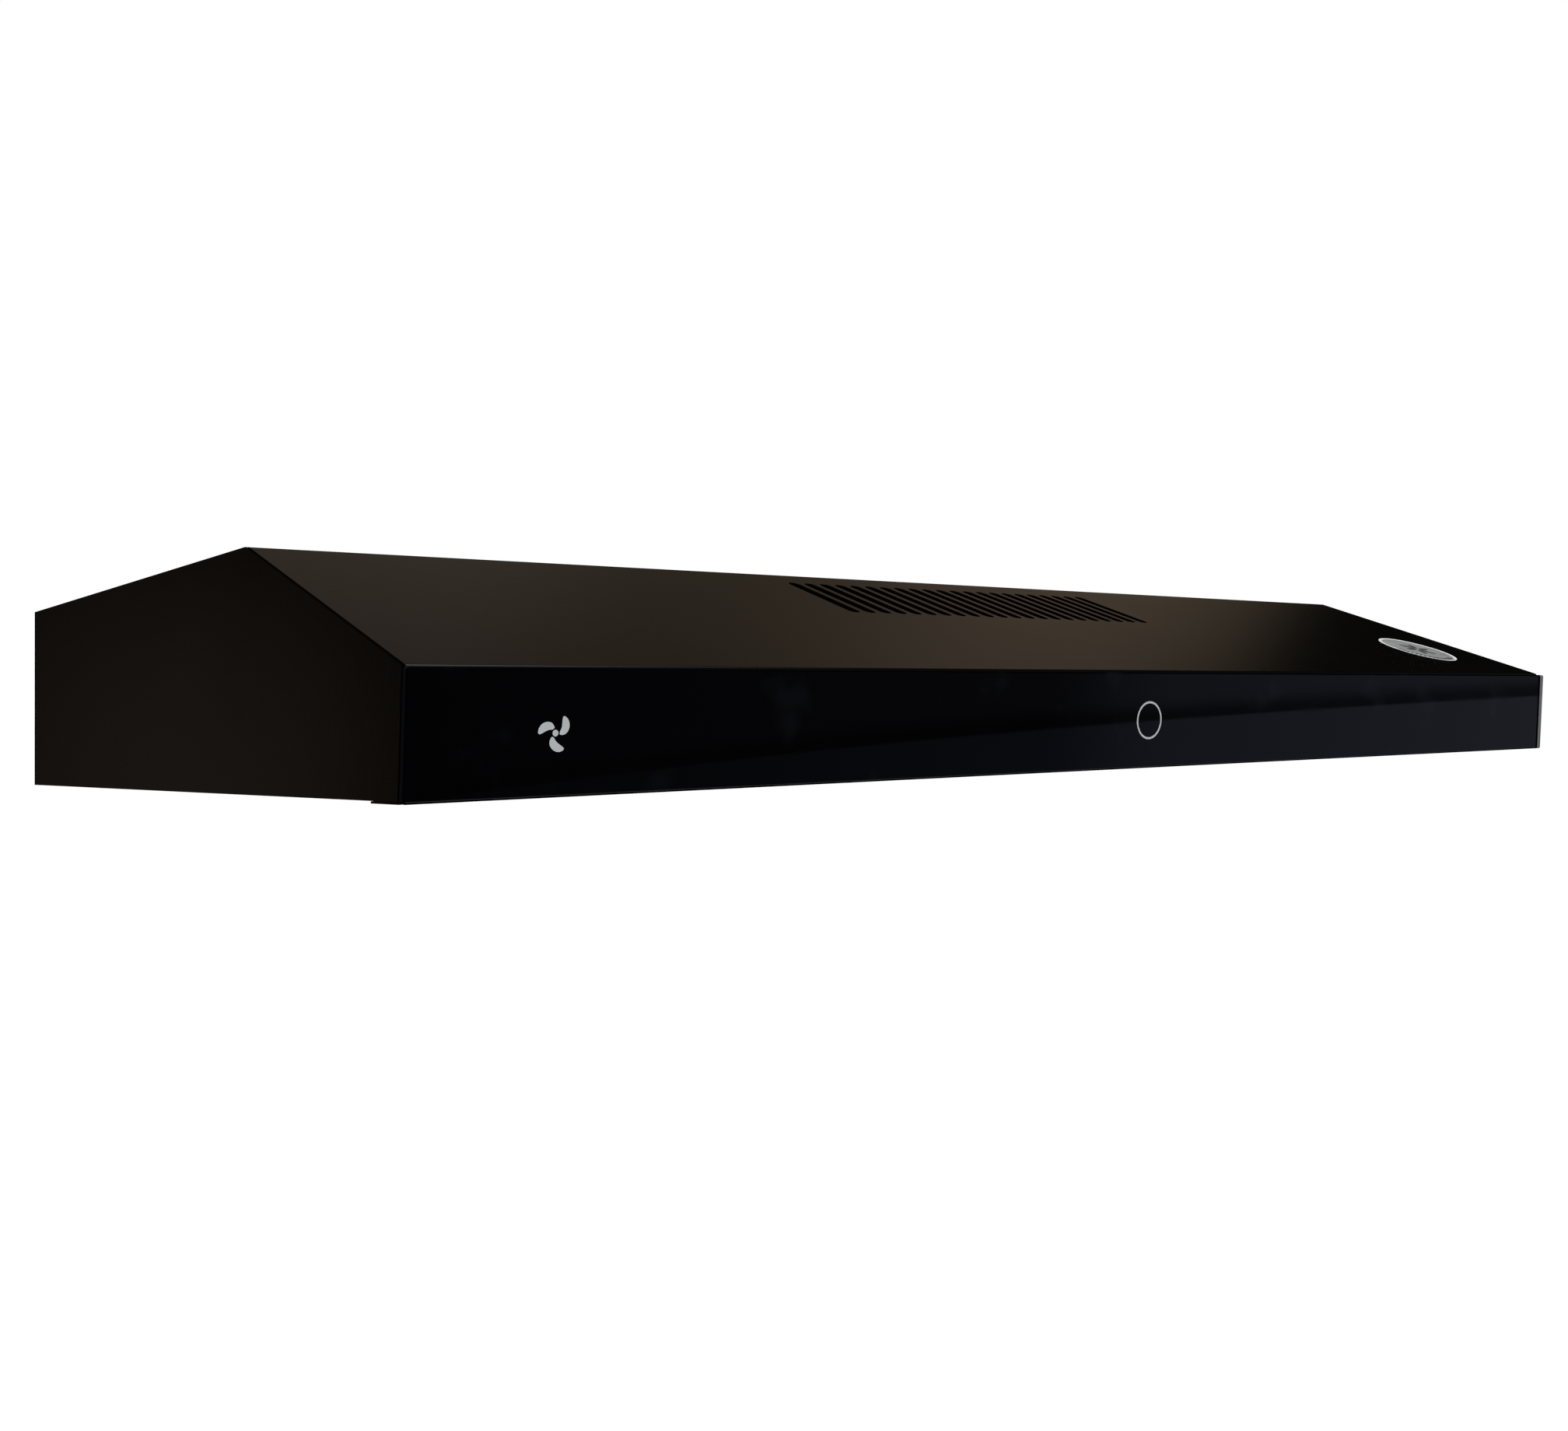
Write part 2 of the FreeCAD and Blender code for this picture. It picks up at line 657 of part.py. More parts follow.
def scroll_screws():
    top = SCROLL_FLOOR + 3
    return [screw(x, y, top, False, 3.6, SMALL_SHANK, 3.2) for x, y in SCROLL_SCREWS]


MOTOR_SCREWS = [
    (46 * math.cos(math.radians(a)), FAN_Y + 46 * math.sin(math.radians(a))) for a in (30, 150, 270)
]


def scroll_cover():
    """The volute's lid, which carries the motor."""
    lid = scroll_area(1.0).extrude(Vector(0, 0, 1))
    lid.translate(Vector(0, 0, SCROLL_TOP - 1))
    openings = [upright(0, FAN_Y, 0, HEIGHT, 24)]
    openings += [upright(x, y, 0, HEIGHT, SHEET_HOLE) for x, y in MOTOR_SCREWS]
    return lid.cut(openings)


def impeller_wheel():
    """Forward-curved blades between two rings, with a dish that clears the motor."""
    low, high = WHEEL_Z
    hub_z = low + 9
    dish = MOTOR_RADIUS + 6
    plate = turned((
        (SHAFT_RADIUS + 0.02, low + 3), (9, low + 3), (9, hub_z), (dish + 1, hub_z),
        (dish + 1, high - 1), (WHEEL_RADIUS, high - 1), (WHEEL_RADIUS, high),
        (dish, high), (dish, hub_z + 1), (SHAFT_RADIUS + 0.02, hub_z + 1),
    ), 0, FAN_Y)
    rim = ring(0, FAN_Y, low, low + 2, WHEEL_RADIUS + 1, WHEEL_RADIUS - 5)
    blades = []
    twist = math.radians(9)
    thick = math.radians(0.9)
    for index in range(BLADE_COUNT):
        turn = index * 2 * math.pi / BLADE_COUNT
        near, far = WHEEL_EYE, WHEEL_RADIUS - 0.3
        middle = (near + far) / 2
        marks = ((near, turn), (middle, turn + twist * 0.2), (far, turn + twist))
        lead = [Vector(r * math.cos(a), r * math.sin(a), 0) for r, a in marks]
        trail = [Vector(r * math.cos(a + thick), r * math.sin(a + thick), 0) for r, a in marks]
        wire = Part.Wire([
            Part.Arc(*lead).toShape(),
            Part.LineSegment(lead[2], trail[2]).toShape(),
            Part.Arc(*trail[::-1]).toShape(),
            Part.LineSegment(trail[0], lead[0]).toShape(),
        ])
        blade = Part.Face(wire).extrude(Vector(0, 0, high - low - 1.5))
        blade.translate(Vector(0, FAN_Y, low + 1))
        blades.append(blade)
    return plate.fuse([rim] + blades)


def impeller_shaft():
    return upright(0, FAN_Y, WHEEL_Z[0] - 3, 72, SHAFT_RADIUS)


def impeller_nut():
    low = WHEEL_Z[0] - 1
    nut = Part.makePolygon([
        Vector(7.5 * math.cos(math.radians(a)), FAN_Y + 7.5 * math.sin(math.radians(a)), low)
        for a in range(0, 361, 60)
    ])
    nut = Part.Face(nut).extrude(Vector(0, 0, 4))
    return nut.cut(upright(0, FAN_Y, 0, 80, SHAFT_RADIUS + 0.02))


def motor_body():
    """Stator stack between two end bells, with the shaft's bearing bore at its foot."""
    top = SCROLL_TOP - 3
    points = (
        (0, 62), (12, 60), (26, 62), (34, 66), (MOTOR_RADIUS, 67), (MOTOR_RADIUS, 84),
        (34, 85), (30, top), (0, top),
    )
    bore = upright(0, FAN_Y, 50, 73, SHAFT_RADIUS + 0.05)
    plug = box(-MOTOR_PLUG, MOTOR_PLUG, FAN_Y - 5, FAN_Y + 5, top - 1, top + 7.5)
    return fused([turned(points, 0, FAN_Y), plug]).cut(bore)


def motor_flange():
    """The plate that hangs the motor from the scroll cover."""
    low, high = SCROLL_TOP - 3, SCROLL_TOP - 1
    plate = ring(0, FAN_Y, low, high, 52, MOTOR_PLUG * 1.6)
    holes = [upright(x, y, low - 1, high + 1, SHEET_HOLE) for x, y in MOTOR_SCREWS]
    return plate.cut(holes)


def motor_screws():
    return [screw(x, y, SCROLL_TOP, False, 3, SMALL_SHANK, 3.2) for x, y in MOTOR_SCREWS]


# ---- duct collar and damper ----

COLLAR_SHEET = 0.8


def duct_collar():
    """A short duct spigot whose flange lies under the top, with tabs that stop the flaps."""
    inner = DUCT_RADIUS - COLLAR_SHEET
    low, high = PLATE_UNDER, TOP_UNDER
    collar = turned((
        (inner, low), (DUCT_FLANGE, low), (DUCT_FLANGE, high), (DUCT_RADIUS, high),
        (DUCT_RADIUS, DUCT_TOP), (inner, DUCT_TOP),
    ), 0, DUCT_Y)
    stop_top = FLAP_Z - FLAP_SHEET / 2 - 0.3
    tabs = []
    for angle in (50, 130, 230, 310):
        tab = box(-3, 3, inner - 4, inner + 0.4, stop_top - 1, stop_top)
        tab.rotate(Vector(0, 0, 0), Z, angle - 90)
        tab.translate(Vector(0, DUCT_Y, 0))
        tabs.append(tab)
    holes = [upright(x, y, low - 1, high + 1, SHEET_HOLE) for x, y in COLLAR_SCREWS]
    holes.append(crosswise(-DUCT_RADIUS - 1, DUCT_RADIUS + 1, DUCT_Y, FLAP_Z, ROD_RADIUS))
    return fused([collar] + tabs).cut(holes)


def collar_screws():
    return [screw(x, y, PLATE_UNDER, True, 0.75, SMALL_SHANK, 3.2) for x, y in COLLAR_SCREWS]


def damper_rod():
    return crosswise(-DUCT_RADIUS, DUCT_RADIUS, DUCT_Y, FLAP_Z, ROD_RADIUS)


KNUCKLE = 2.4
KNUCKLE_LENGTH = 18.0
KNUCKLE_STARTS = {-1: (-64.0, -16.0, 30.0), 1: (-45.0, 3.0, 49.0)}


def damper_flap(facing):
    """Half a disc with sleeves that turn on the rod; facing is -1 for the front half."""
    thick = FLAP_SHEET / 2
    disc = upright(0, DUCT_Y, FLAP_Z - thick, FLAP_Z + thick, FLAP_RADIUS)
    root = KNUCKLE + 0.5
    near, far = sorted((DUCT_Y + facing * root, DUCT_Y + facing * 90))
    leaf = disc.common(box(-90, 90, near, far, FLAP_Z - 5, FLAP_Z + 5))
    sleeves = []
    for x0 in KNUCKLE_STARTS[facing]:
        x1 = x0 + KNUCKLE_LENGTH
        sleeves.append(crosswise(x0, x1, DUCT_Y, FLAP_Z, KNUCKLE))
        y0, y1 = sorted((DUCT_Y, DUCT_Y + facing * (root + 1)))
        sleeves.append(box(x0, x1, y0, y1, FLAP_Z - thick, FLAP_Z + thick))
    bore = crosswise(-90, 90, DUCT_Y, FLAP_Z, ROD_RADIUS + 0.05)
    return fused([leaf] + sleeves).cut(bore)


# ---- vent door ----

DOOR_PLACE = Placement(Vector(0, DOOR_Y, DOOR_Z), Rotation(X, -math.degrees(DOOR_DROP)))
LEVER_X = BOX_X + 1.5


def vent_door():
    """The plate that closes the way to the vent slots, drawn lying open."""
    leaf = box(-DOOR_X, DOOR_X, 0, DOOR_LENGTH, -0.5, 0.5)
    hinge = crosswise(-DOOR_X, DOOR_X, 0, 0, DOOR_SHAFT_RADIUS + 1)
    bore = crosswise(-DOOR_X - 1, DOOR_X + 1, 0, 0, DOOR_SHAFT_RADIUS)
    door = fused([leaf, hinge]).cut(bore)
    return placed(door, DOOR_PLACE)


def vent_door_shaft():
    return crosswise(-BOX_X - 2, LEVER_X + 4, DOOR_Y, DOOR_Z, DOOR_SHAFT_RADIUS)


def vent_door_lever():
    """The hand lever on the shaft's end, beside the blower box."""
    hub = crosswise(LEVER_X, LEVER_X + 3, 0, 0, 5)
    arm = box(LEVER_X, LEVER_X + 2, 0, 30, -3, 3)
    knob = crosswise(LEVER_X, LEVER_X + 10, 30, 0, 4.5)
    bore = crosswise(LEVER_X - 1, LEVER_X + 20, 0, 0, DOOR_SHAFT_RADIUS)
    lever = fused([hub, arm, knob]).cut(bore)
    return placed(lever, DOOR_PLACE)


# ---- lamps ----

def lamp_bezel(x):
    low = DECK_Z
    return turned((
        (19.6, low - 1.8), (25.5, low - 1.0), (26, low), (21.8, low), (21.8, low + 10),
        (20.8, low + 10), (20.8, low + 0.6), (19.6, low + 0.6),
    ), x, LAMP_Y)


def lamp_lens(x):
    low = DECK_Z + 0.6
    return turned((
        (0, low - 1.2), (10, low - 1.0), (19.4, low), (20.7, low), (20.7, low + 1.5), (0, low + 1.5),
    ), x, LAMP_Y)


def lamp_module(x):
    """The light board and its finned heat sink."""
    low = DECK_Z + 2.1
    body = upright(x, LAMP_Y, low, low + 10, 20.6)
    slots = [
        box(x + offset - 1.2, x + offset + 1.2, LAMP_Y - 21, LAMP_Y + 21, low + 3, low + 11)
        for offset in (-17, -11, 11, 17)
    ]
    socket = box(x - PLUG, x + PLUG, LAMP_Y - PLUG, LAMP_Y + PLUG, low + 9, low + 14)
    return fused([body.cut(slots), socket])


def lamp_clips():
    """Spring clips that hold the lamps up against the pan."""
    clips = []
    for sign in (-1, 1):
        for facing in (-1, 1):
            x = sign * LAMP_X + facing * 22.1
            path = (
                (0, DECK_Z + 6), (facing * 7, DECK_Z + SHEET), (facing * 7.8, DECK_Z + SHEET),
                (facing * 0.8, DECK_Z + 9), (0, DECK_Z + 9),
            )
            face = polygon([Vector(x + dx, LAMP_Y - 4, z) for dx, z in path])
            clips.append(face.extrude(Vector(0, 8, 0)))
    return Part.makeCompound(clips)


# ---- electrical parts ----

def control_box():
    x0, x1, y0, y1, low = CONTROL
    top = TOP_UNDER
    outer = box(x0, x1, y0, y1, low, top)
    outer = outer.makeFillet(3, [e for e in outer.Edges if e.BoundBox.ZLength > top - low - 0.01])
    inner = box(x0 + 2, x1 - 2, y0 + 2, y1 - 2, low - 1, top - 2)
    posts = [upright(x, y, low, top - 1, 4) for x, y in control_screw_places()]
    holes = [upright(x, y, low - 1, low + 11, SMALL_SHANK) for x, y in control_screw_places()]
    return fused([outer.cut(inner)] + posts).cut(holes)


def control_screw_places():
    x0, x1, y0, y1, low = CONTROL
    return [(x0 + 5, y0 + 5), (x1 - 5, y1 - 5)]


def control_lid():
    x0, x1, y0, y1, low = CONTROL
    lid = box(x0, x1, y0, y1, low - 2, low)
    lid = lid.makeFillet(3, [e for e in lid.Edges if 1.9 < e.BoundBox.ZLength])
    return lid.cut([upright(x, y, low - 3, low + 1, SMALL_SHANK) for x, y in control_screw_places()])


def control_board():
    x0, x1, y0, y1, low = CONTROL
    board = box(x0 + 11, x1 - 11, y0 + 6, y1 - 6, low + 18, low + 19.6)
    under = low + 18
    relays = [box(x0 + x, x0 + x + 16, y1 - 32, y1 - 12, under - 12, under) for x in (16, 38, 60)]
    transformer = box(x0 + 18, x0 + 46, y0 + 12, y0 + 36, under - 14, under)
    terminals = box(x0 + 56, x0 + 92, y0 + 10, y0 + 20, under - 9, under)
    return fused([board, transformer, terminals] + relays)


def control_screws():
    low = CONTROL[4] - 2
    return [screw(x, y, low, True, 9, SMALL_SHANK, 3.0) for x, y in control_screw_places()]


def wiring_box():
    x0, x1, y0, y1, low = WIRING
    top = TOP_UNDER - SHEET
    outer = box(x0, x1, y0, y1, low, top)
    inner = box(x0 + SHEET, x1 - SHEET, y0 + SHEET, y1 - SHEET, low - 1, top + 1)
    ears = [box(x, x + 12, y0 - 12, y0 + 0.5, top - SHEET, top) for x in (x0, x1 - 12)]
    return fused([outer.cut(inner)] + ears)


def wiring_cover():
    x0, x1, y0, y1, low = WIRING
    plate = box(x0 - 1, x1 + 1, y0 - 1, y1 + 1, low - SHEET, low)
    lips = [box(x, x + 0.8, y0 + 8, y1 - 8, low - SHEET, low + 6) for x in (x0 - 1.8, x1 + 1)]
    return fused([plate] + lips)


def terminal_block():
    """Three screw terminals for the house wiring, hung from the wiring box's wall."""
    x0, x1, y0, y1, low = WIRING
    body = box(x0 + 20, x0 + 56, y0 + SHEET, y0 + 17, low + 10, low + 26)
    pockets = [upright(x0 + 26 + 12 * index, y0 + 9, low + 4, low + 16, 3.2) for index in range(3)]
    return body.cut(pockets)


def cable_plate():
    """A small plate under the top that carries the cable grommet."""
    plate = box(CABLE_X - 34, CABLE_X + 34, CABLE_Y - 30, CABLE_Y + 30, PLATE_UNDER, TOP_UNDER)
    return plate.cut(upright(CABLE_X, CABLE_Y, 90, 110, 9))


def cable_grommet():
    top = HEIGHT - 0.1
    return turned((
        (5, top), (12, top), (12, TOP_UNDER), (9, TOP_UNDER), (9, PLATE_UNDER), (12, PLATE_UNDER),
        (11, PLATE_UNDER - 3), (5, PLATE_UNDER - 3),
    ), CABLE_X, CABLE_Y)


def capacitor():
    x0, x1, y, z, radius = CAPACITOR
    can = crosswise(x0, x1, y, z, radius)
    can = can.makeFillet(2, [e for e in can.Edges if e.BoundBox.XLength < 0.01])
    tags = [box(x1 - 0.5, x1 + 8, y + offset - 3, y + offset + 3, z - 0.4, z + 0.4) for offset in (-6, 6)]
    return fused([can] + tags)


def capacitor_clip():
    x0, x1, y, z, radius = CAPACITOR
    middle = (x0 + x1) / 2
    band = crosswise(middle - 7, middle + 7, y, z, radius + 1.2)
    foot = box(middle - 7, middle + 7, y - 26, y + 2, TOP_UNDER - 1.2, TOP_UNDER)
    neck = box(middle - 7, middle + 7, y - 6, y + 6, z + 4, TOP_UNDER)
    return fused([band, foot, neck]).cut(crosswise(x0 - 20, x1 + 20, y, z, radius))


# ---- internal wiring ----

CABLE_RADIUS = 1.5
CABLE_DECK_Z = DECK_Z + SHEET + CABLE_RADIUS + 0.5
CABLE_FRONT_Y = -216.5
SOCKET_Z = DECK_Z + 14.2


def cable(points, radius):
    """A tube along straight runs joined by tangent arcs, as large as the runs allow."""
    route = [Vector(*point) for point in points]
    edges = []
    start = route[0]
    for before, corner, after in zip(route, route[1:], route[2:]):
        back, ahead = before - corner, after - corner
        reach = 0.45 * min(back.Length, ahead.Length)
        half = back.getAngle(ahead) / 2
        bend = reach * math.tan(half)
        print("cable bend radius", round(bend, 1))
        back.normalize()
        ahead.normalize()
        middle = corner + (back + ahead).normalize() * (bend / math.sin(half) - bend)
        edges.append(Part.LineSegment(start, corner + back * reach).toShape())
        edges.append(Part.Arc(corner + back * reach, middle, corner + ahead * reach).toShape())
        start = corner + ahead * reach
    edges.append(Part.LineSegment(start, route[-1]).toShape())
    path = Part.Wire(edges)
    section = Part.Wire(Part.makeCircle(radius, route[0], route[1] - route[0]))
    tube = path.makePipeShell([section], True, True)
    share = tube.Volume / (math.pi * radius ** 2 * path.Length)
    print("cable length", round(path.Length, 1), "volume share", round(share, 4))
    return tube


TOUCH_PLUG_Y = -236.6


def front_harness():
    """Leads from the control box to the right lamp, on to the left lamp, and to the touch board."""
    x0, x1, y0, y1, low = CONTROL
    to_lamp = cable([
        (x0 + 40, y0, 75), (x0 + 40, y0 - 34, 75), (x0 + 37, y0 - 64, 58), (x0 + 30, y0 - 86, 38),
        (LAMP_X, y0 - 106, SOCKET_Z), (LAMP_X, LAMP_Y + PLUG, SOCKET_Z),
    ], CABLE_RADIUS)
    lamp_to_lamp = cable([
        (LAMP_X - PLUG, LAMP_Y, SOCKET_Z), (LAMP_X - 26, LAMP_Y, SOCKET_Z), (180, -208, 19),
        (148, CABLE_FRONT_Y, CABLE_DECK_Z), (90, CABLE_FRONT_Y - 0.5, CABLE_DECK_Z),
        (30, CABLE_FRONT_Y + 0.5, CABLE_DECK_Z), (-30, CABLE_FRONT_Y - 0.5, CABLE_DECK_Z),
        (-90, CABLE_FRONT_Y + 0.5, CABLE_DECK_Z), (-148, CABLE_FRONT_Y, CABLE_DECK_Z),
        (-180, -208, 19), (-LAMP_X + 26, LAMP_Y, SOCKET_Z), (-LAMP_X + PLUG, LAMP_Y, SOCKET_Z),
    ], CABLE_RADIUS)
    to_touch = cable([
        (x0 + 14, y0, 75), (x0 + 14, y0 - 34, 75), (x0 + 4, y0 - 70, 66), (x0 - 12, y0 - 104, 54),
        (x0 - 38, y0 - 132, 44), (x0 - 78, y0 - 147, 36), (x0 - 122, y0 - 153, 30),
        (x0 - 155, y0 - 158, 26), (x0 - 175, y0 - 165, 25.5), (27, TOUCH_PLUG_Y, 25.5),
    ], CABLE_RADIUS)
    return Part.makeCompound([to_lamp, lamp_to_lamp, to_touch])


def power_harness():
    """Leads from the control box to the motor and the capacitor, and from the wiring box."""
    x0, x1, y0, y1, low = CONTROL
    to_motor = cable([
        (x0, FAN_Y, 92), (x0 - 18, FAN_Y, 92), (BOX_X + 2, FAN_Y, MOTOR_LEAD_Z),
        (146, FAN_Y, MOTOR_LEAD_Z), (116, FAN_Y, 98.4), (72, FAN_Y + 1.5, 98.7),
        (38, FAN_Y, 98.4), (MOTOR_PLUG, FAN_Y, 98.4),
    ], CABLE_RADIUS)
    to_capacitor = cable([
        (x0 + 86, y1, 78), (x0 + 86, y1 + 22, 78), (x0 + 85, y1 + 46, 81), (x0 + 78, y1 + 66, 84),
        (CAPACITOR[1] + 8.6, CAPACITOR[2] + 6, 84),
    ], CABLE_RADIUS)
    from_wiring = cable([
        (WIRING[1] - 6, WIRING[2], 90), (WIRING[1] - 6, 130, 90), (WIRING[1], 95, 87),
        (WIRING[1] + 2, 62, 88), (WIRING[1] + 2, y1, 88),
    ], CABLE_RADIUS)
    return Part.makeCompound([to_motor, to_capacitor, from_wiring])


def harness_clips():
    """Saddles that hold the lamp lead down on the pan."""
    clips = []
    for x in (-126.0, -60.0, 60.0, 126.0):
        low = DECK_Z + SHEET
        saddle = box(x - 4, x + 4, CABLE_FRONT_Y - 4, CABLE_FRONT_Y + 4, low, low + 5)
        clips.append(saddle.cut(box(x - 5, x + 5, CABLE_FRONT_Y - 2.2, CABLE_FRONT_Y + 2.2, low, low + 4)))
    return Part.makeCompound(clips)


NODES = {
    "top_shell": top_shell(),
    "left_end_panel": left_end_panel(),
    "right_end_panel": mirrored(left_end_panel()),
    "back_panel": back_panel(),
    "pan_support_angles": pan_support_angles(),
    "bottom_pan": bottom_pan(),
    "sheet_screws": Part.makeCompound(pan_screws() + box_screws() + collar_screws()),
    "glass_front": glass_front(),
    "glass_tape": glass_tape(),
    "touch_holder": touch_holder(),
    "touch_board": touch_board(),
    "plastic_screws": Part.makeCompound(touch_screws() + control_screws()),
    "blower_box": blower_box(),
    "inlet_ring": inlet_ring(),
    "inlet_guard": inlet_guard(),
    "scroll_housing": scroll_housing(),
    "fan_screws": Part.makeCompound(scroll_screws() + motor_screws()),
    "scroll_cover": scroll_cover(),
    "impeller_wheel": impeller_wheel(),
    "impeller_shaft": impeller_shaft(),
    "impeller_nut": impeller_nut(),
    "motor_body": motor_body(),
    "motor_flange": motor_flange(),
    "capacitor": capacitor(),
    "capacitor_clip": capacitor_clip(),
    "duct_collar": duct_collar(),
    "damper_rod": damper_rod(),
    "damper_flap_front": damper_flap(-1),
    "damper_flap_rear": damper_flap(1),
    "vent_door": vent_door(),
    "vent_door_shaft": vent_door_shaft(),
    "vent_door_lever": vent_door_lever(),
    "control_box": control_box(),
    "control_lid": control_lid(),
    "control_board": control_board(),
    "wiring_box": wiring_box(),
    "wiring_cover": wiring_cover(),
    "terminal_block": terminal_block(),
    "cable_plate": cable_plate(),
    "cable_grommet": cable_grommet(),
    "lamp_clips": lamp_clips(),
    "front_harness": front_harness(),
    "power_harness": power_harness(),
    "harness_clips": harness_clips(),
}
for name, x in (("left", -LAMP_X), ("right", LAMP_X)):
    NODES["lamp_" + name + "_bezel"] = lamp_bezel(x)
    NODES["lamp_" + name + "_lens"] = lamp_lens(x)
    NODES["lamp_" + name + "_module"] = lamp_module(x)
for name, shape in (
    ("frame", filter_frame()),
    ("mesh", filter_mesh()),
    ("latch_housing", latch_housing()),
    ("latch", latch()),
    ("latch_spring", latch_spring()),
):
    NODES["filter_right_" + name] = shape
    NODES["filter_left_" + name] = mirrored(shape)

export(NODES)
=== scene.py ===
import math

import bmesh
import bpy
from mathutils import Matrix, Vector
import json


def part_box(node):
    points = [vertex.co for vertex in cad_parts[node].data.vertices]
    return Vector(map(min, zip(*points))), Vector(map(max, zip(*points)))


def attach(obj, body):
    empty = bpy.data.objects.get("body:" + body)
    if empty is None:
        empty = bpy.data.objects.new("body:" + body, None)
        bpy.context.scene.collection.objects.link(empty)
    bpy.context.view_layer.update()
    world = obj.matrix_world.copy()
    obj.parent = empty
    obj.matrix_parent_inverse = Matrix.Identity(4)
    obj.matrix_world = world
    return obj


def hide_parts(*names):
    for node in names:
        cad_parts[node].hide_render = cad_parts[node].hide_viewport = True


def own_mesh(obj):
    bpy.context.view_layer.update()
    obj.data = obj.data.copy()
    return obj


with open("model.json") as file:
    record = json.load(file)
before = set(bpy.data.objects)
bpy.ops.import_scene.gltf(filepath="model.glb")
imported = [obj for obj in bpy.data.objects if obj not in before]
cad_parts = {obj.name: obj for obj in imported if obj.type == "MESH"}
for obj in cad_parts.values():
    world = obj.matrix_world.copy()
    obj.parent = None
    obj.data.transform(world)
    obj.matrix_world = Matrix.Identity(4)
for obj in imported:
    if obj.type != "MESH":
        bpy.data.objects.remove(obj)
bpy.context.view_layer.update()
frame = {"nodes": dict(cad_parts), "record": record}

MM = 0.001

# the camera, as a photographer stands: a little to the left, close, at the hood's own height
CAMERA_PLACE = Vector((-0.6022, -0.7410, 0.0211))
CAMERA_YAW = 0.6609  # from +Y towards +X
CAMERA_PITCH = 0.0516  # above the horizon
CAMERA_ROLL = 0.0238
CAMERA_LENS = 36.25
CAMERA_SENSOR = 36.0
CAMERA_SHIFT = (0.0029, -0.0411)

FLOOR_Z = -0.9
FLOOR_RADIUS = 3.0

SEAM_SHADE_X = 378.1 * MM  # where the painted shade line along the seam between the top and each end panel begins
SEAM_SHADE_FADE = 0.2 * MM

# distances from the glass's ends
GLASS_MARGIN = 4.5 * MM  # the clear end without black print, where light from the ground edge seen through the glass is painted
GLASS_LINE = 6.7 * MM  # the dark line beside it
GLASS_FADE = 0.2 * MM

# printed and stuck-on pieces
RING_RADIUS = 8.6 * MM
RING_LINE = 0.95 * MM
PRINT_Z = 22.8 * MM
PRINT_HEIGHT = 0.05 * MM
MARK_X = -323.4 * MM
MARK_RADIUS = 7.0 * MM
SEAL_X = 323.5 * MM
SEAL_Y = -204.0 * MM
SEAL_RADIUS = 23.7 * MM
SEAL_RIM = 2.2 * MM
SEAL_THICKNESS = 0.12 * MM
TICKS = 17
TICK_START = 182  # degrees
TICK_STEP = 7
TICK_SPREAD = 2.1
PETALS = 6
PETAL_PLACE = 6.4 * MM  # from the seal's centre
PETAL_SIZE = (4.8 * MM, 1.9 * MM)

# expanded mesh of the filters
CELL_LONG = 12.0 * MM
CELL_SHORT = 6.0 * MM
STRAND_WIDTH = 1.1 * MM
STRAND_THICKNESS = 0.45 * MM
STRAND_TILT = math.radians(28)
STRAND_OVERLAP = 0.1 * MM  # past each knuckle
FINE_CELL = 0.75  # of the coarse cell

# coil springs of the latches
COIL_WIRE = 0.3 * MM  # radius of the wire
COIL_TURNS = 6
COIL_STEPS = 24  # sections in a turn
COIL_SIDES = 8

# the table's far edge as the glass mirrors it: its bearing where it is level with the eye, and its slope
TABLE_TURN = 95.22
TABLE_SLOPE = 0.2030


# ---------------------------------------------------------------- materials

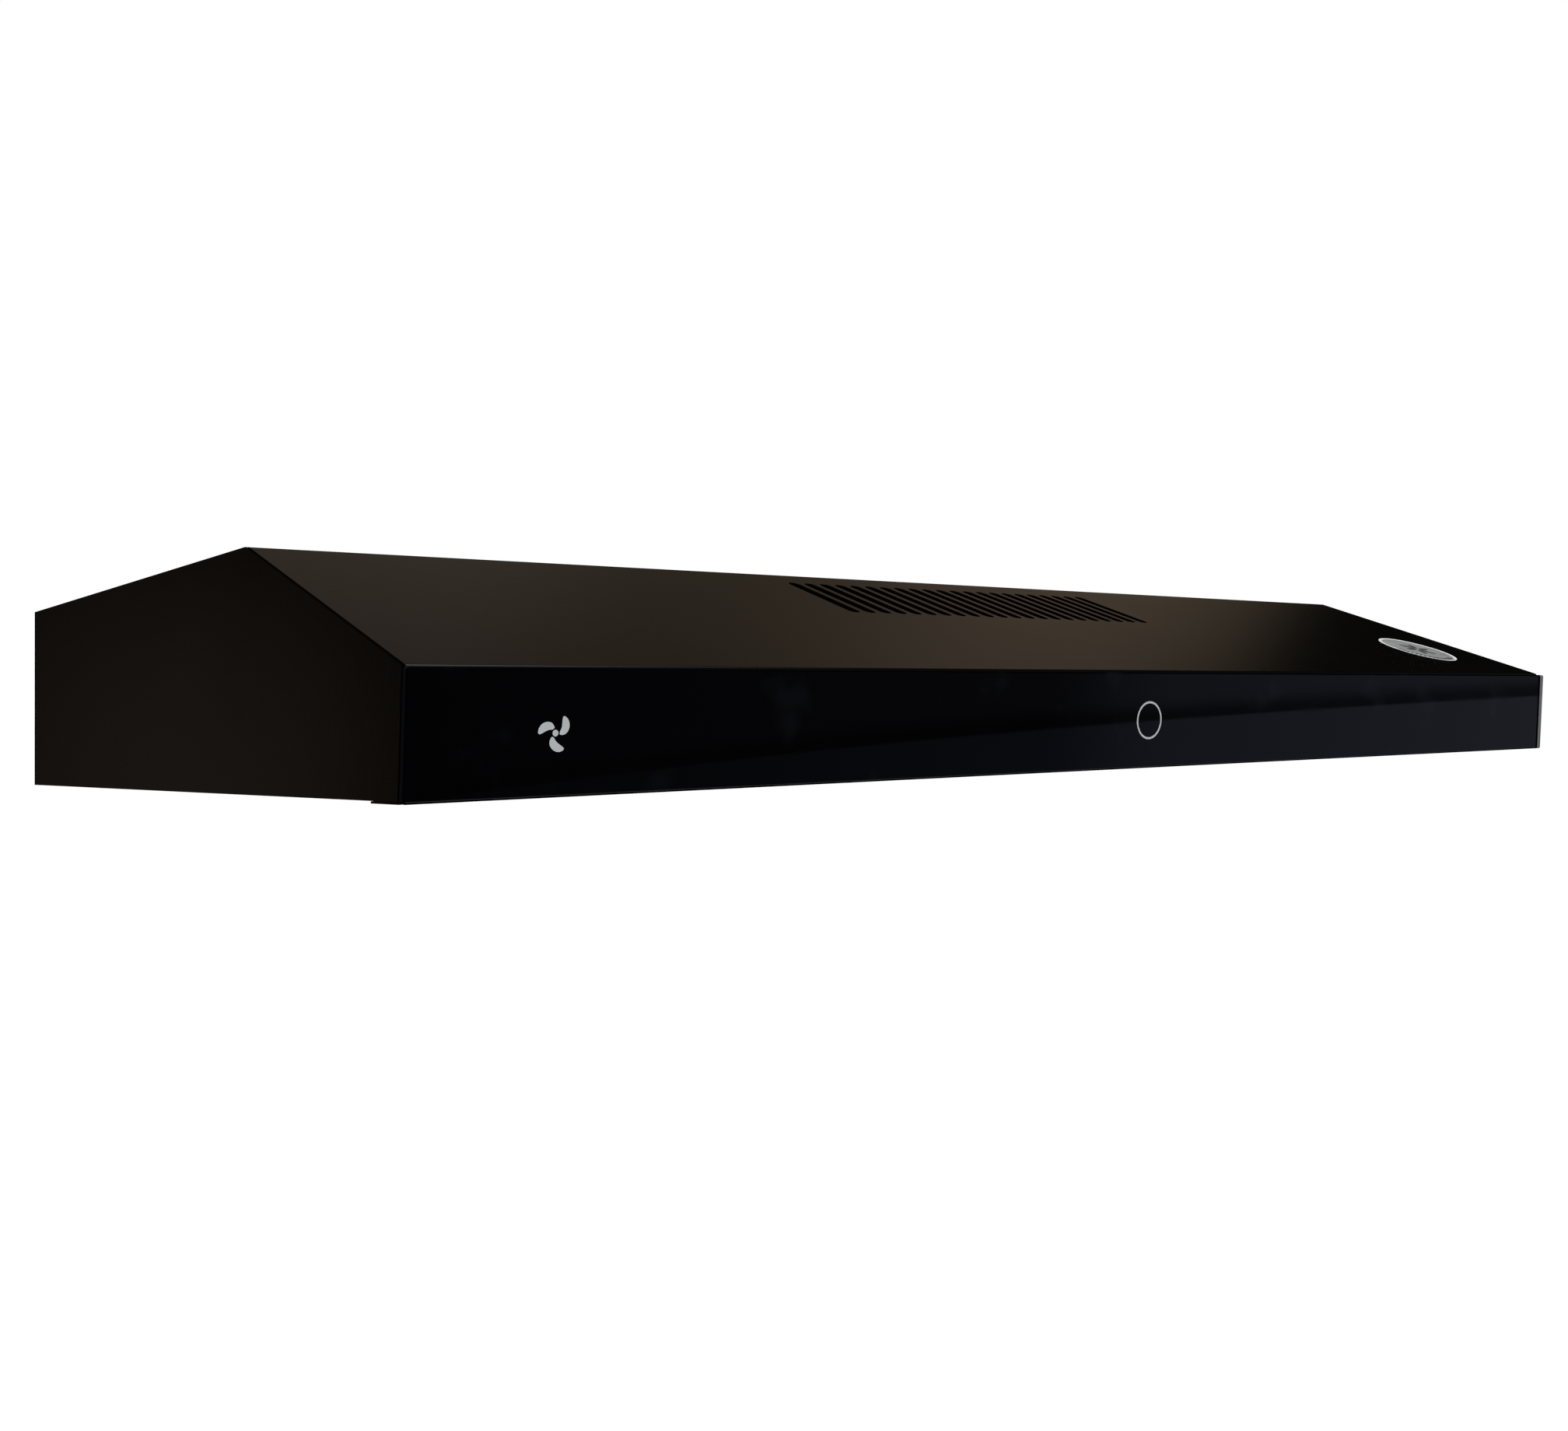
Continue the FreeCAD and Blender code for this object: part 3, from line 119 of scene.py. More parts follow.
class Surface:
    """A Principled material and the procedural nodes that drive it, in object coordinates."""

    def __init__(self, name, colour, roughness, metallic=0.0, **sockets):
        self.material = bpy.data.materials.new(name)
        self.material.use_nodes = True
        self.nodes = self.material.node_tree.nodes
        self.links = self.material.node_tree.links
        self.shader = self.nodes["Principled BSDF"]
        self.shader.inputs["Base Color"].default_value = (*colour, 1.0)
        self.shader.inputs["Roughness"].default_value = roughness
        self.shader.inputs["Metallic"].default_value = metallic
        for socket, value in sockets.items():
            self.shader.inputs[socket.replace("_", " ")].default_value = value
        self.place = self.add("ShaderNodeTexCoord").outputs["Object"]

    def add(self, kind, **settings):
        node = self.nodes.new(kind)
        for key, value in settings.items():
            setattr(node, key, value)
        return node

    def stretched(self, stretch):
        mapping = self.add("ShaderNodeMapping")
        mapping.inputs["Scale"].default_value = stretch
        self.links.new(self.place, mapping.inputs["Vector"])
        return mapping.outputs["Vector"]

    def noise(self, size, detail=2.0, stretch=(1.0, 1.0, 1.0)):
        node = self.add("ShaderNodeTexNoise")
        node.inputs["Scale"].default_value = 1.0 / size
        node.inputs["Detail"].default_value = detail
        self.links.new(self.stretched(stretch), node.inputs["Vector"])
        return node.outputs["Fac"]

    def cells(self, size, output="Color", feature="F1", stretch=(1.0, 1.0, 1.0)):
        node = self.add("ShaderNodeTexVoronoi", feature=feature)
        node.inputs["Scale"].default_value = 1.0 / size
        self.links.new(self.stretched(stretch), node.inputs["Vector"])
        return node.outputs[output]

    def axis(self, letter, source=None):
        parts = self.add("ShaderNodeSeparateXYZ")
        self.links.new(source or self.place, parts.inputs[0])
        return parts.outputs[letter]

    def math(self, operation, first, second=None):
        node = self.add("ShaderNodeMath", operation=operation)
        for socket, value in zip(node.inputs, (first, second)):
            if isinstance(value, (int, float)):
                socket.default_value = value
            elif value is not None:
                self.links.new(value, socket)
        return node.outputs[0]

    def remap(self, factor, low, high, start=0.0, end=1.0, kind="LINEAR"):
        node = self.add("ShaderNodeMapRange", interpolation_type=kind)
        self.links.new(factor, node.inputs["Value"])
        node.inputs["From Min"].default_value = start
        node.inputs["From Max"].default_value = end
        node.inputs["To Min"].default_value = low
        node.inputs["To Max"].default_value = high
        return node.outputs["Result"]

    def blend(self, factor, first, second):
        node = self.add("ShaderNodeMix", data_type="RGBA")
        self.links.new(factor, node.inputs["Factor"])
        for index, value in ((6, first), (7, second)):
            if isinstance(value, tuple):
                node.inputs[index].default_value = (*value, 1.0)
            else:
                self.links.new(value, node.inputs[index])
        return node.outputs[2]

    def drive(self, socket, source):
        self.links.new(source, self.shader.inputs[socket])

    def bump(self, factor, height):
        node = self.add("ShaderNodeBump")
        node.inputs["Distance"].default_value = height
        self.links.new(factor, node.inputs["Height"])
        normal = self.shader.inputs["Normal"]
        if normal.links:
            self.links.new(normal.links[0].from_socket, node.inputs["Normal"])
        self.links.new(node.outputs["Normal"], normal)


def satin_paint():
    paint = Surface("satin_paint", (0.0016, 0.0013, 0.0011), 0.19)
    grain = paint.noise(0.7 * MM, 3.0)
    drift = paint.noise(90 * MM, 2.0)
    paint.drive("Base Color", paint.blend(grain, (0.0011, 0.0009, 0.0008), (0.0021, 0.0018, 0.0015)))
    across = paint.math("ABSOLUTE", paint.axis("X"))
    sideways = paint.math("ABSOLUTE", paint.axis("X", paint.add("ShaderNodeNewGeometry").outputs["Normal"]))
    # painted shade: reflection is taken away in a strip along each end seam of the top, a dark shadow line between
    # the top and the end panels
    seam_shade = paint.math("MULTIPLY", paint.remap(across, 0.0, 1.0, SEAM_SHADE_X, SEAM_SHADE_X + SEAM_SHADE_FADE),
                      paint.remap(sideways, 1.0, 0.0, 0.3, 0.6))
    paint.drive("Specular IOR Level", paint.remap(seam_shade, 0.5, 0.0))
    paint.drive("Roughness", paint.remap(paint.math("ADD", grain, drift), 0.165, 0.215, 0.6, 1.4))
    paint.bump(grain, 0.016 * MM)
    paint.bump(paint.noise(5 * MM, 1.0), 0.020 * MM)
    return paint.material


def fascia_glass(normal, half_width):
    glass = Surface("black_glass", (0.002, 0.002, 0.003), 0.02, IOR=1.52)
    facing = glass.add("ShaderNodeVectorMath", operation="DOT_PRODUCT")
    facing.inputs[1].default_value = normal
    glass.links.new(glass.add("ShaderNodeNewGeometry").outputs["Normal"], facing.inputs[0])
    edge = glass.remap(facing.outputs["Value"], 1.0, 0.0, 0.93, 0.985)
    across = glass.math("ABSOLUTE", glass.axis("X"))
    margin, inside = (
        glass.remap(across, 0.0, 1.0, half_width - start, half_width - start + GLASS_FADE)
        for start in (GLASS_MARGIN, GLASS_LINE)
    )
    slant = glass.add("ShaderNodeLayerWeight")
    slant.inputs["Blend"].default_value = 0.5
    ahead = glass.add("ShaderNodeCombineXYZ")
    for name, value in zip("XYZ", normal):
        ahead.inputs[name].default_value = value
    glass.links.new(ahead.outputs["Vector"], slant.inputs["Normal"])
    seen_through = glass.remap(slant.outputs["Facing"], 0.0, 1.0, 0.36, 0.46)
    # painted light: a grey glow in the clear ends, standing for the lit ground edge seen through the glass at a
    # slant
    glow = glass.math("MULTIPLY", margin, seen_through)
    line = glass.math("MULTIPLY", glass.math("SUBTRACT", inside, margin), seen_through)
    glass.drive("Specular IOR Level", glass.remap(glass.math("MAXIMUM", line, edge), 0.5, 0.0))
    film = glass.noise(26 * MM, 2.0)
    haze = glass.blend(glass.remap(film, 0.0, 1.0, 0.62, 0.74), (0.0010, 0.0011, 0.0016), (0.0050, 0.0056, 0.0075))
    front = glass.blend(glow, haze, (0.24, 0.245, 0.245))
    ends = glass.remap(facing.outputs["Value"], 1.0, 0.0, 0.02, 0.2)
    glass.drive("Base Color", glass.blend(ends, front, (0.006, 0.0066, 0.0088)))
    smudge = glass.remap(glass.noise(35 * MM, 3.0), 0.01, 0.05, 0.45, 0.75)
    frost = glass.remap(edge, 0.0, 0.25)
    glass.drive("Roughness", glass.math("ADD", smudge, frost))
    return glass.material


def foam_tape():
    foam = Surface("foam_tape", (0.02, 0.02, 0.021), 0.9)
    pores = foam.cells(0.5 * MM, "Distance")
    foam.drive("Base Color", foam.blend(pores, (0.008, 0.008, 0.009), (0.035, 0.035, 0.036)))
    foam.bump(pores, 0.08 * MM)
    return foam.material


def galvanised_sheet():
    zinc = Surface("galvanised_sheet", (0.55, 0.57, 0.58), 0.38, 1.0)
    spangle = zinc.cells(9 * MM)
    tone = zinc.axis("X", spangle)
    zinc.drive("Base Color", zinc.blend(tone, (0.44, 0.46, 0.48), (0.66, 0.67, 0.68)))
    streaks = zinc.noise(2 * MM, 3.0, (1.0, 8.0, 1.0))
    rough = zinc.math("ADD", zinc.math("MULTIPLY", tone, 0.6), zinc.math("MULTIPLY", streaks, 0.4))
    zinc.drive("Roughness", zinc.remap(rough, 0.28, 0.50))
    zinc.bump(streaks, 0.02 * MM)
    return zinc.material


def moulded_plastic():
    plastic = Surface("moulded_plastic", (0.022, 0.022, 0.024), 0.5)
    spark = plastic.cells(0.35 * MM, "Distance")
    drift = plastic.noise(30 * MM)
    plastic.drive("Base Color", plastic.blend(drift, (0.017, 0.017, 0.018), (0.028, 0.028, 0.030)))
    plastic.drive("Roughness", plastic.remap(spark, 0.42, 0.62))
    plastic.bump(spark, 0.05 * MM)
    return plastic.material


def circuit_board():
    board = Surface("circuit_board", (0.02, 0.12, 0.05), 0.35)
    lanes = board.add("ShaderNodeTexBrick", offset=0.37, squash=1.6)
    lanes.inputs["Scale"].default_value = 1.0
    lanes.inputs["Brick Width"].default_value = 7 * MM
    lanes.inputs["Row Height"].default_value = 1.6 * MM
    lanes.inputs["Mortar Size"].default_value = 0.22 * MM
    board.links.new(board.place, lanes.inputs["Vector"])
    lanes.inputs["Color1"].default_value = (0.012, 0.085, 0.032, 1.0)
    lanes.inputs["Color2"].default_value = (0.016, 0.11, 0.043, 1.0)
    lanes.inputs["Mortar"].default_value = (0.035, 0.20, 0.08, 1.0)
    board.drive("Base Color", lanes.outputs["Color"])
    board.drive("Roughness", board.remap(board.noise(3 * MM), 0.25, 0.45))
    board.bump(lanes.outputs["Fac"], 0.04 * MM)
    return board.material


def bright_zinc():
    zinc = Surface("bright_zinc", (0.60, 0.60, 0.58), 0.3, 1.0)
    wear = zinc.noise(1.5 * MM, 4.0)
    zinc.drive("Base Color", zinc.blend(wear, (0.50, 0.51, 0.52), (0.70, 0.69, 0.65)))
    zinc.drive("Roughness", zinc.remap(wear, 0.2, 0.42, 0.3, 0.7))
    zinc.bump(wear, 0.02 * MM)
    return zinc.material


def laminated_motor():
    motor = Surface("laminated_motor", (0.25, 0.25, 0.26), 0.5, 0.85)
    height = motor.axis("Z")
    stack = motor.math("SINE", motor.math("MULTIPLY", height, 2 * math.pi / (0.9 * MM)))
    scale = motor.noise(6 * MM, 4.0)
    motor.drive("Base Color", motor.blend(scale, (0.16, 0.16, 0.17), (0.34, 0.34, 0.35)))
    motor.drive("Roughness", motor.remap(scale, 0.4, 0.62, 0.3, 0.7))
    motor.bump(stack, 0.06 * MM)
    return motor.material


def capacitor_can():
    can = Surface("capacitor_can", (0.68, 0.68, 0.64), 0.35)
    drift = can.noise(14 * MM, 3.0)
    can.drive("Base Color", can.blend(drift, (0.60, 0.60, 0.56), (0.74, 0.74, 0.70)))
    can.drive("Roughness", can.remap(drift, 0.28, 0.42, 0.3, 0.7))
    can.bump(can.noise(1.2 * MM), 0.02 * MM)
    return can.material


def lamp_lens(name, centre):
    lens = Surface(name, (0.86, 0.86, 0.82), 0.32, Subsurface_Weight=0.25, Subsurface_Scale=0.004)
    shift = lens.add("ShaderNodeVectorMath", operation="SUBTRACT")
    shift.inputs[1].default_value = centre
    lens.links.new(lens.place, shift.inputs[0])
    length = lens.add("ShaderNodeVectorMath", operation="LENGTH")
    lens.links.new(shift.outputs[0], length.inputs[0])
    rings = lens.math("SINE", lens.math("MULTIPLY", length.outputs["Value"], 2 * math.pi / (1.6 * MM)))
    glow = lens.remap(length.outputs["Value"], 0.0, 1.0, 0.0, 18 * MM)
    lens.drive("Base Color", lens.blend(glow, (0.93, 0.92, 0.86), (0.80, 0.80, 0.78)))
    lens.drive("Roughness", lens.remap(lens.noise(0.6 * MM), 0.25, 0.4))
    lens.bump(rings, 0.12 * MM)
    return lens.material


def cast_heat_sink():
    cast = Surface("cast_heat_sink", (0.62, 0.63, 0.64), 0.5, 1.0)
    skin = cast.noise(0.8 * MM, 4.0)
    cast.drive("Base Color", cast.blend(skin, (0.52, 0.53, 0.54), (0.70, 0.71, 0.72)))
    cast.drive("Roughness", cast.remap(skin, 0.42, 0.62))
    cast.bump(skin, 0.06 * MM)
    return cast.material


def brushed_aluminium(name, light, dark, stretch, rough):
    metal = Surface(name, light, rough, 1.0)
    lines = metal.noise(0.5 * MM, 3.0, stretch)
    film = metal.noise(60 * MM, 3.0)
    metal.drive("Base Color", metal.blend(film, dark, light))
    metal.drive("Roughness", metal.remap(lines, rough - 0.08, rough + 0.12))
    metal.bump(lines, 0.02 * MM)
    return metal.material


def rubber():
    soft = Surface("grommet_rubber", (0.014, 0.014, 0.014), 0.75)
    bloom = soft.noise(4 * MM, 4.0)
    soft.drive("Base Color", soft.blend(bloom, (0.010, 0.010, 0.010), (0.024, 0.024, 0.025)))
    soft.drive("Roughness", soft.remap(bloom, 0.65, 0.85))
    soft.bump(soft.noise(0.5 * MM), 0.03 * MM)
    return soft.material


def cable_sheath():
    sheath = Surface("cable_sheath", (0.04, 0.04, 0.043), 0.42)
    drift = sheath.noise(20 * MM, 3.0)
    sheath.drive("Base Color", sheath.blend(drift, (0.030, 0.030, 0.033), (0.052, 0.052, 0.055)))
    sheath.drive("Roughness", sheath.remap(drift, 0.36, 0.52))
    sheath.bump(sheath.noise(0.8 * MM), 0.02 * MM)
    return sheath.material


def white_print():
    ink = Surface("white_print", (0.84, 0.88, 0.90), 0.35)
    screen = ink.noise(0.25 * MM, 2.0)
    ink.drive("Base Color", ink.blend(screen, (0.79, 0.84, 0.86), (0.89, 0.92, 0.93)))
    ink.drive("Roughness", ink.remap(screen, 0.28, 0.42))
    ink.bump(screen, 0.01 * MM)
    return ink.material


def seal_paper():
    paper = Surface("seal_paper", (0.86, 0.86, 0.86), 0.4)
    fibre = paper.noise(0.4 * MM, 3.0)
    paper.drive("Base Color", paper.blend(fibre, (0.82, 0.82, 0.82), (0.90, 0.90, 0.90)))
    paper.drive("Roughness", paper.remap(fibre, 0.35, 0.5))
    paper.bump(fibre, 0.01 * MM)
    return paper.material


def seal_ink():
    ink = Surface("seal_ink", (0.05, 0.05, 0.052), 0.45)
    screen = ink.noise(0.3 * MM, 2.0)
    ink.drive("Base Color", ink.blend(screen, (0.012, 0.012, 0.013), (0.035, 0.035, 0.036)))
    ink.drive("Roughness", ink.remap(screen, 0.38, 0.52))
    ink.bump(screen, 0.01 * MM)
    return ink.material


def seal_foil():
    foil = Surface("seal_foil", (0.50, 0.51, 0.51), 0.34, 0.45)
    sheen = foil.noise(7 * MM, 3.0)
    foil.drive("Base Color", foil.blend(sheen, (0.40, 0.41, 0.41), (0.62, 0.63, 0.63)))
    foil.drive("Roughness", foil.remap(sheen, 0.28, 0.42))
    foil.bump(foil.noise(1.0 * MM), 0.02 * MM)
    return foil.material


# ---------------------------------------------------------------- shapes

def piece(name, mesh, materials, body="hood"):
    """Puts a finished bmesh into the scene as a piece on a body."""
    data = bpy.data.meshes.new(name)
    mesh.normal_update()
    mesh.to_mesh(data)
    mesh.free()
    made = bpy.data.objects.new(name, data)
    bpy.context.scene.collection.objects.link(made)
    for material in materials:
        data.materials.append(material)
    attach(made, body)
    return made


def largest_face(node, direction):
    """The centre and normal of a CAD node's largest face that looks in about that direction."""
    best = max(
        (face for face in frame["nodes"][node].data.polygons if face.normal.dot(direction) > 0.99),
        key=lambda face: face.area,
    )
    return best.center.copy(), best.normal.copy()


def on_plane(plane, x, y=None, z=None):
    """The point of a plane at x and at either y or z."""
    centre, normal = plane
    along = centre.dot(normal) - normal.x * x
    if y is None:
        return Vector((x, (along - normal.z * z) / normal.y, z))
    return Vector((x, y, (along - normal.y * y) / normal.z))


def seat(origin, normal):
    """A matrix that puts a flat drawing on a surface, with its x along +X and its z along the normal."""
    right = Vector((1.0, 0.0, 0.0))
    up = normal.cross(right)
    turn = Matrix((right, up, normal)).transposed().to_4x4()
    return Matrix.Translation(origin) @ turn


def revolve(mesh, profile, steps, material=0):
    """Adds a closed ring of faces around z from a closed profile of (radius, height) points."""
    rings = []
    for step in range(steps):
        angle = 2 * math.pi * step / steps
        rings.append([mesh.verts.new((r * math.cos(angle), r * math.sin(angle), h)) for r, h in profile])
    count = len(profile)
    for step in range(steps):
        here, there = rings[step], rings[(step + 1) % steps]
        for i in range(count):
            j = (i + 1) % count
            face = mesh.faces.new((here[i], there[i], there[j], here[j]))
            face.material_index = material
            face.smooth = True


def plate(mesh, outline, low, high, material=0):
    """Adds a flat plate with that outline, given anticlockwise."""
    bottom = [mesh.verts.new((x, y, low)) for x, y in outline]
    top = [mesh.verts.new((x, y, high)) for x, y in outline]
    faces = [mesh.faces.new(top), mesh.faces.new(bottom[::-1])]
    for i in range(len(outline)):
        j = (i + 1) % len(outline)
        faces.append(mesh.faces.new((bottom[i], bottom[j], top[j], top[i])))
    for face in faces:
        face.material_index = material


def sector_point(radius, angle):
    return (radius * math.cos(angle), radius * math.sin(angle))


# ---------------------------------------------------------------- prints

def touch_ring(plane, ink):
    """The printed circle of the touch control."""
    mesh = bmesh.new()
    inner, outer = RING_RADIUS - RING_LINE / 2, RING_RADIUS + RING_LINE / 2
    profile = [(inner, 0.0), (outer, 0.0), (outer, PRINT_HEIGHT), (inner, PRINT_HEIGHT)]
    revolve(mesh, profile, 96)
    mesh.transform(seat(on_plane(plane, 0.0, z=PRINT_Z), plane[1]))
    for face in mesh.faces:
        face.smooth = False
    return piece("touch_ring_print", mesh, [ink])


def blade_outline(start):
    """One blade of the fan sign: a swept leaf between the hub and the rim."""
    steps = 14
    sweep = math.radians(52)
    middle = []
    for i in range(steps + 1):
        share = i / steps
        radius = 0.26 * MARK_RADIUS + share * 0.74 * MARK_RADIUS
        width = 0.38 * math.sin(math.pi * min(1.0, 0.12 + 0.88 * share)) ** 0.6 + 0.10
        middle.append((radius, start + sweep * share, width))
    leading = [sector_point(radius, angle + width) for radius, angle, width in middle]
    trailing = [sector_point(radius, angle - width) for radius, angle, width in middle]
    return trailing + leading[::-1]


def fan_sign(plane, ink):
    """A plain three-bladed fan, as on any ventilation control."""
    mesh = bmesh.new()
    for blade in range(3):
        plate(mesh, blade_outline(2 * math.pi * blade / 3), 0.0, PRINT_HEIGHT)
    hub = [sector_point(0.17 * MARK_RADIUS, 2 * math.pi * i / 24) for i in range(24)]
    plate(mesh, hub, 0.0, PRINT_HEIGHT)
    mesh.transform(seat(on_plane(plane, MARK_X, z=PRINT_Z), plane[1]))
    return piece("fan_sign_print", mesh, [ink])


def foil_seal(plane, paper, foil, ink):
    """A round blank seal: a paper rim, a foil middle, and a row of ticks and a small rosette in dark ink."""
    mesh = bmesh.new()
    thick = SEAL_THICKNESS
    rim = SEAL_RADIUS - SEAL_RIM
    profile = [
        (rim, 0.0), (SEAL_RADIUS, 0.0), (SEAL_RADIUS, thick * 0.6),
        (SEAL_RADIUS - 0.4 * MM, thick), (rim, thick),
    ]
    revolve(mesh, profile, 96, 0)
    middle = [sector_point(rim, 2 * math.pi * i / 96) for i in range(96)]
    plate(mesh, middle, 0.0, thick * 0.8, 1)
    inner, outer = rim - 3.2 * MM, SEAL_RADIUS - 0.8 * MM
    spread = math.radians(TICK_SPREAD)
    for tick in range(TICKS):
        angle = math.radians(TICK_START + TICK_STEP * tick)
        corners = ((inner, -1), (outer, -1), (outer, 1), (inner, 1))
        outline = [sector_point(radius, angle + side * spread) for radius, side in corners]
        plate(mesh, outline, thick * 0.7, thick * 1.05, 2)
    for petal in range(PETALS):
        angle = 2 * math.pi * petal / PETALS
        centre = Vector(sector_point(PETAL_PLACE, angle))
        outline = []
        for i in range(20):
            turn = 2 * math.pi * i / 20
            local = Vector((PETAL_SIZE[0] * math.cos(turn), PETAL_SIZE[1] * math.sin(turn)))
            local.rotate(Matrix.Rotation(angle, 2))
            outline.append(tuple(centre + local))
        plate(mesh, outline, thick * 0.7, thick, 2)
    mesh.transform(seat(on_plane(plane, SEAL_X, y=SEAL_Y), plane[1]))
    return piece("foil_seal", mesh, [paper, foil, ink])


# ---------------------------------------------------------------- filters

def strand(mesh, start, end, tilt):
    """One flat strand of expanded metal between two knuckles."""
    along = (end - start).normalized()
    flat = Vector((0.0, 0.0, 1.0)).cross(along)
    wide = (flat * math.cos(tilt) + Vector((0.0, 0.0, 1.0)) * math.sin(tilt)) * STRAND_WIDTH / 2
    deep = along.cross(wide).normalized() * STRAND_THICKNESS / 2
    corners = (wide + deep, wide - deep, -wide - deep, -wide + deep)
    first = [mesh.verts.new(start - along * STRAND_OVERLAP + corner) for corner in corners]
    last = [mesh.verts.new(end + along * STRAND_OVERLAP + corner) for corner in corners]
    mesh.faces.new(first)
    mesh.faces.new(last[::-1])
    for i in range(4):
        j = (i + 1) % 4
        mesh.faces.new((first[j], first[i], last[i], last[j]))


def expanded_layer(mesh, low, high, hole, z, long, short, tilt):
    """A sheet of diamond mesh between two corners, at one height, cut away around the latch housing."""
    columns = int((high.x - low.x) / long)
    rows = int((high.y - low.y) / (short / 2))
    left = (low.x + high.x - columns * long) / 2
    front = (low.y + high.y - rows * short / 2) / 2
    for row in range(rows):
        for column in range(columns + 1):
            odd = row % 2
            x = left + (column + odd / 2) * long
            y = front + row * short / 2
            for side in (-1, 1):
                far = x + side * long / 2
                inside = low.x - 0.01 * MM <= far <= high.x + 0.01 * MM and x <= high.x + 0.01 * MM
                reach = max(x, far) > hole[0].x and min(x, far) < hole[1].x
                if inside and not (reach and y < hole[1].y):
                    strand(mesh, Vector((x, y, z)), Vector((far, y + short / 2, z)), tilt)


def filter_pack(side, metal):
    """The mesh pack of one filter: coarse outer sheets and a finer one between them."""
    low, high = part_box(f"filter_{side}_mesh")
    inset = Vector((0.4 * MM, 0.4 * MM, 0.0))
    low, high = low + inset, high - inset
    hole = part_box(f"filter_{side}_latch_housing")
    hole = (hole[0] - inset, hole[1] + inset)
    mesh = bmesh.new()
    layers = (
        (low.z + 0.4 * MM, 1.0, STRAND_TILT),
        ((low.z + high.z) / 2, FINE_CELL, -STRAND_TILT),
        (high.z - 0.4 * MM, 1.0, STRAND_TILT),
    )
    for z, cell, tilt in layers:
        expanded_layer(mesh, low, high, hole, z, CELL_LONG * cell, CELL_SHORT * cell, tilt)
    made = piece(f"filter_{side}_expanded_mesh", mesh, [metal], f"filter_{side}")
    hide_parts(f"filter_{side}_mesh")


def latch_coil(side, metal):
    """The latch's compression spring, as a coil of wire."""
    low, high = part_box(f"filter_{side}_latch_spring")
    middle = (low + high) / 2
    radius = (high.x - low.x) / 2 - COIL_WIRE
    start, end = low.y + COIL_WIRE, high.y - COIL_WIRE
    steps = COIL_TURNS * COIL_STEPS
    mesh = bmesh.new()
    rings = []
    for step in range(steps + 1):
        share = step / steps
        angle = 2 * math.pi * COIL_TURNS * share
        outward = Vector((math.cos(angle), 0.0, math.sin(angle)))
        place = Vector((middle.x, start + (end - start) * share, middle.z)) + outward * radius
        section = [sector_point(COIL_WIRE, 2 * math.pi * i / COIL_SIDES) for i in range(COIL_SIDES)]
        rings.append([mesh.verts.new(place + outward * out + Vector((0.0, along, 0.0))) for out, along in section])
    for here, there in zip(rings, rings[1:]):
        for i in range(COIL_SIDES):
            j = (i + 1) % COIL_SIDES
            mesh.faces.new((here[i], there[i], there[j], here[j])).smooth = True
    mesh.faces.new(rings[0])
    mesh.faces.new(rings[-1][::-1])
    made = piece(f"filter_{side}_latch_coil", mesh, [metal], f"filter_{side}")
    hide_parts(f"filter_{side}_latch_spring")
    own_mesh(made)


# ---------------------------------------------------------------- the scene

def camera():
    yaw, pitch, roll = CAMERA_YAW, CAMERA_PITCH, CAMERA_ROLL
    forward = Vector((math.sin(yaw) * math.cos(pitch), math.cos(yaw) * math.cos(pitch), math.sin(pitch)))
    level = Vector((math.cos(yaw), -math.sin(yaw), 0.0))
    down = forward.cross(level)
    right = level * math.cos(roll) + down * math.sin(roll)
    up = level * math.sin(roll) - down * math.cos(roll)
    lens = bpy.data.cameras.new("camera")
    lens.lens = CAMERA_LENS
    lens.sensor_width = CAMERA_SENSOR
    lens.shift_x, lens.shift_y = CAMERA_SHIFT
    lens.clip_start = 0.01
    made = bpy.data.objects.new("camera", lens)
    made.matrix_world = Matrix.Translation(CAMERA_PLACE) @ Matrix((right, up, -forward)).transposed().to_4x4()
    bpy.context.scene.collection.objects.link(made)
    bpy.context.scene.camera = made


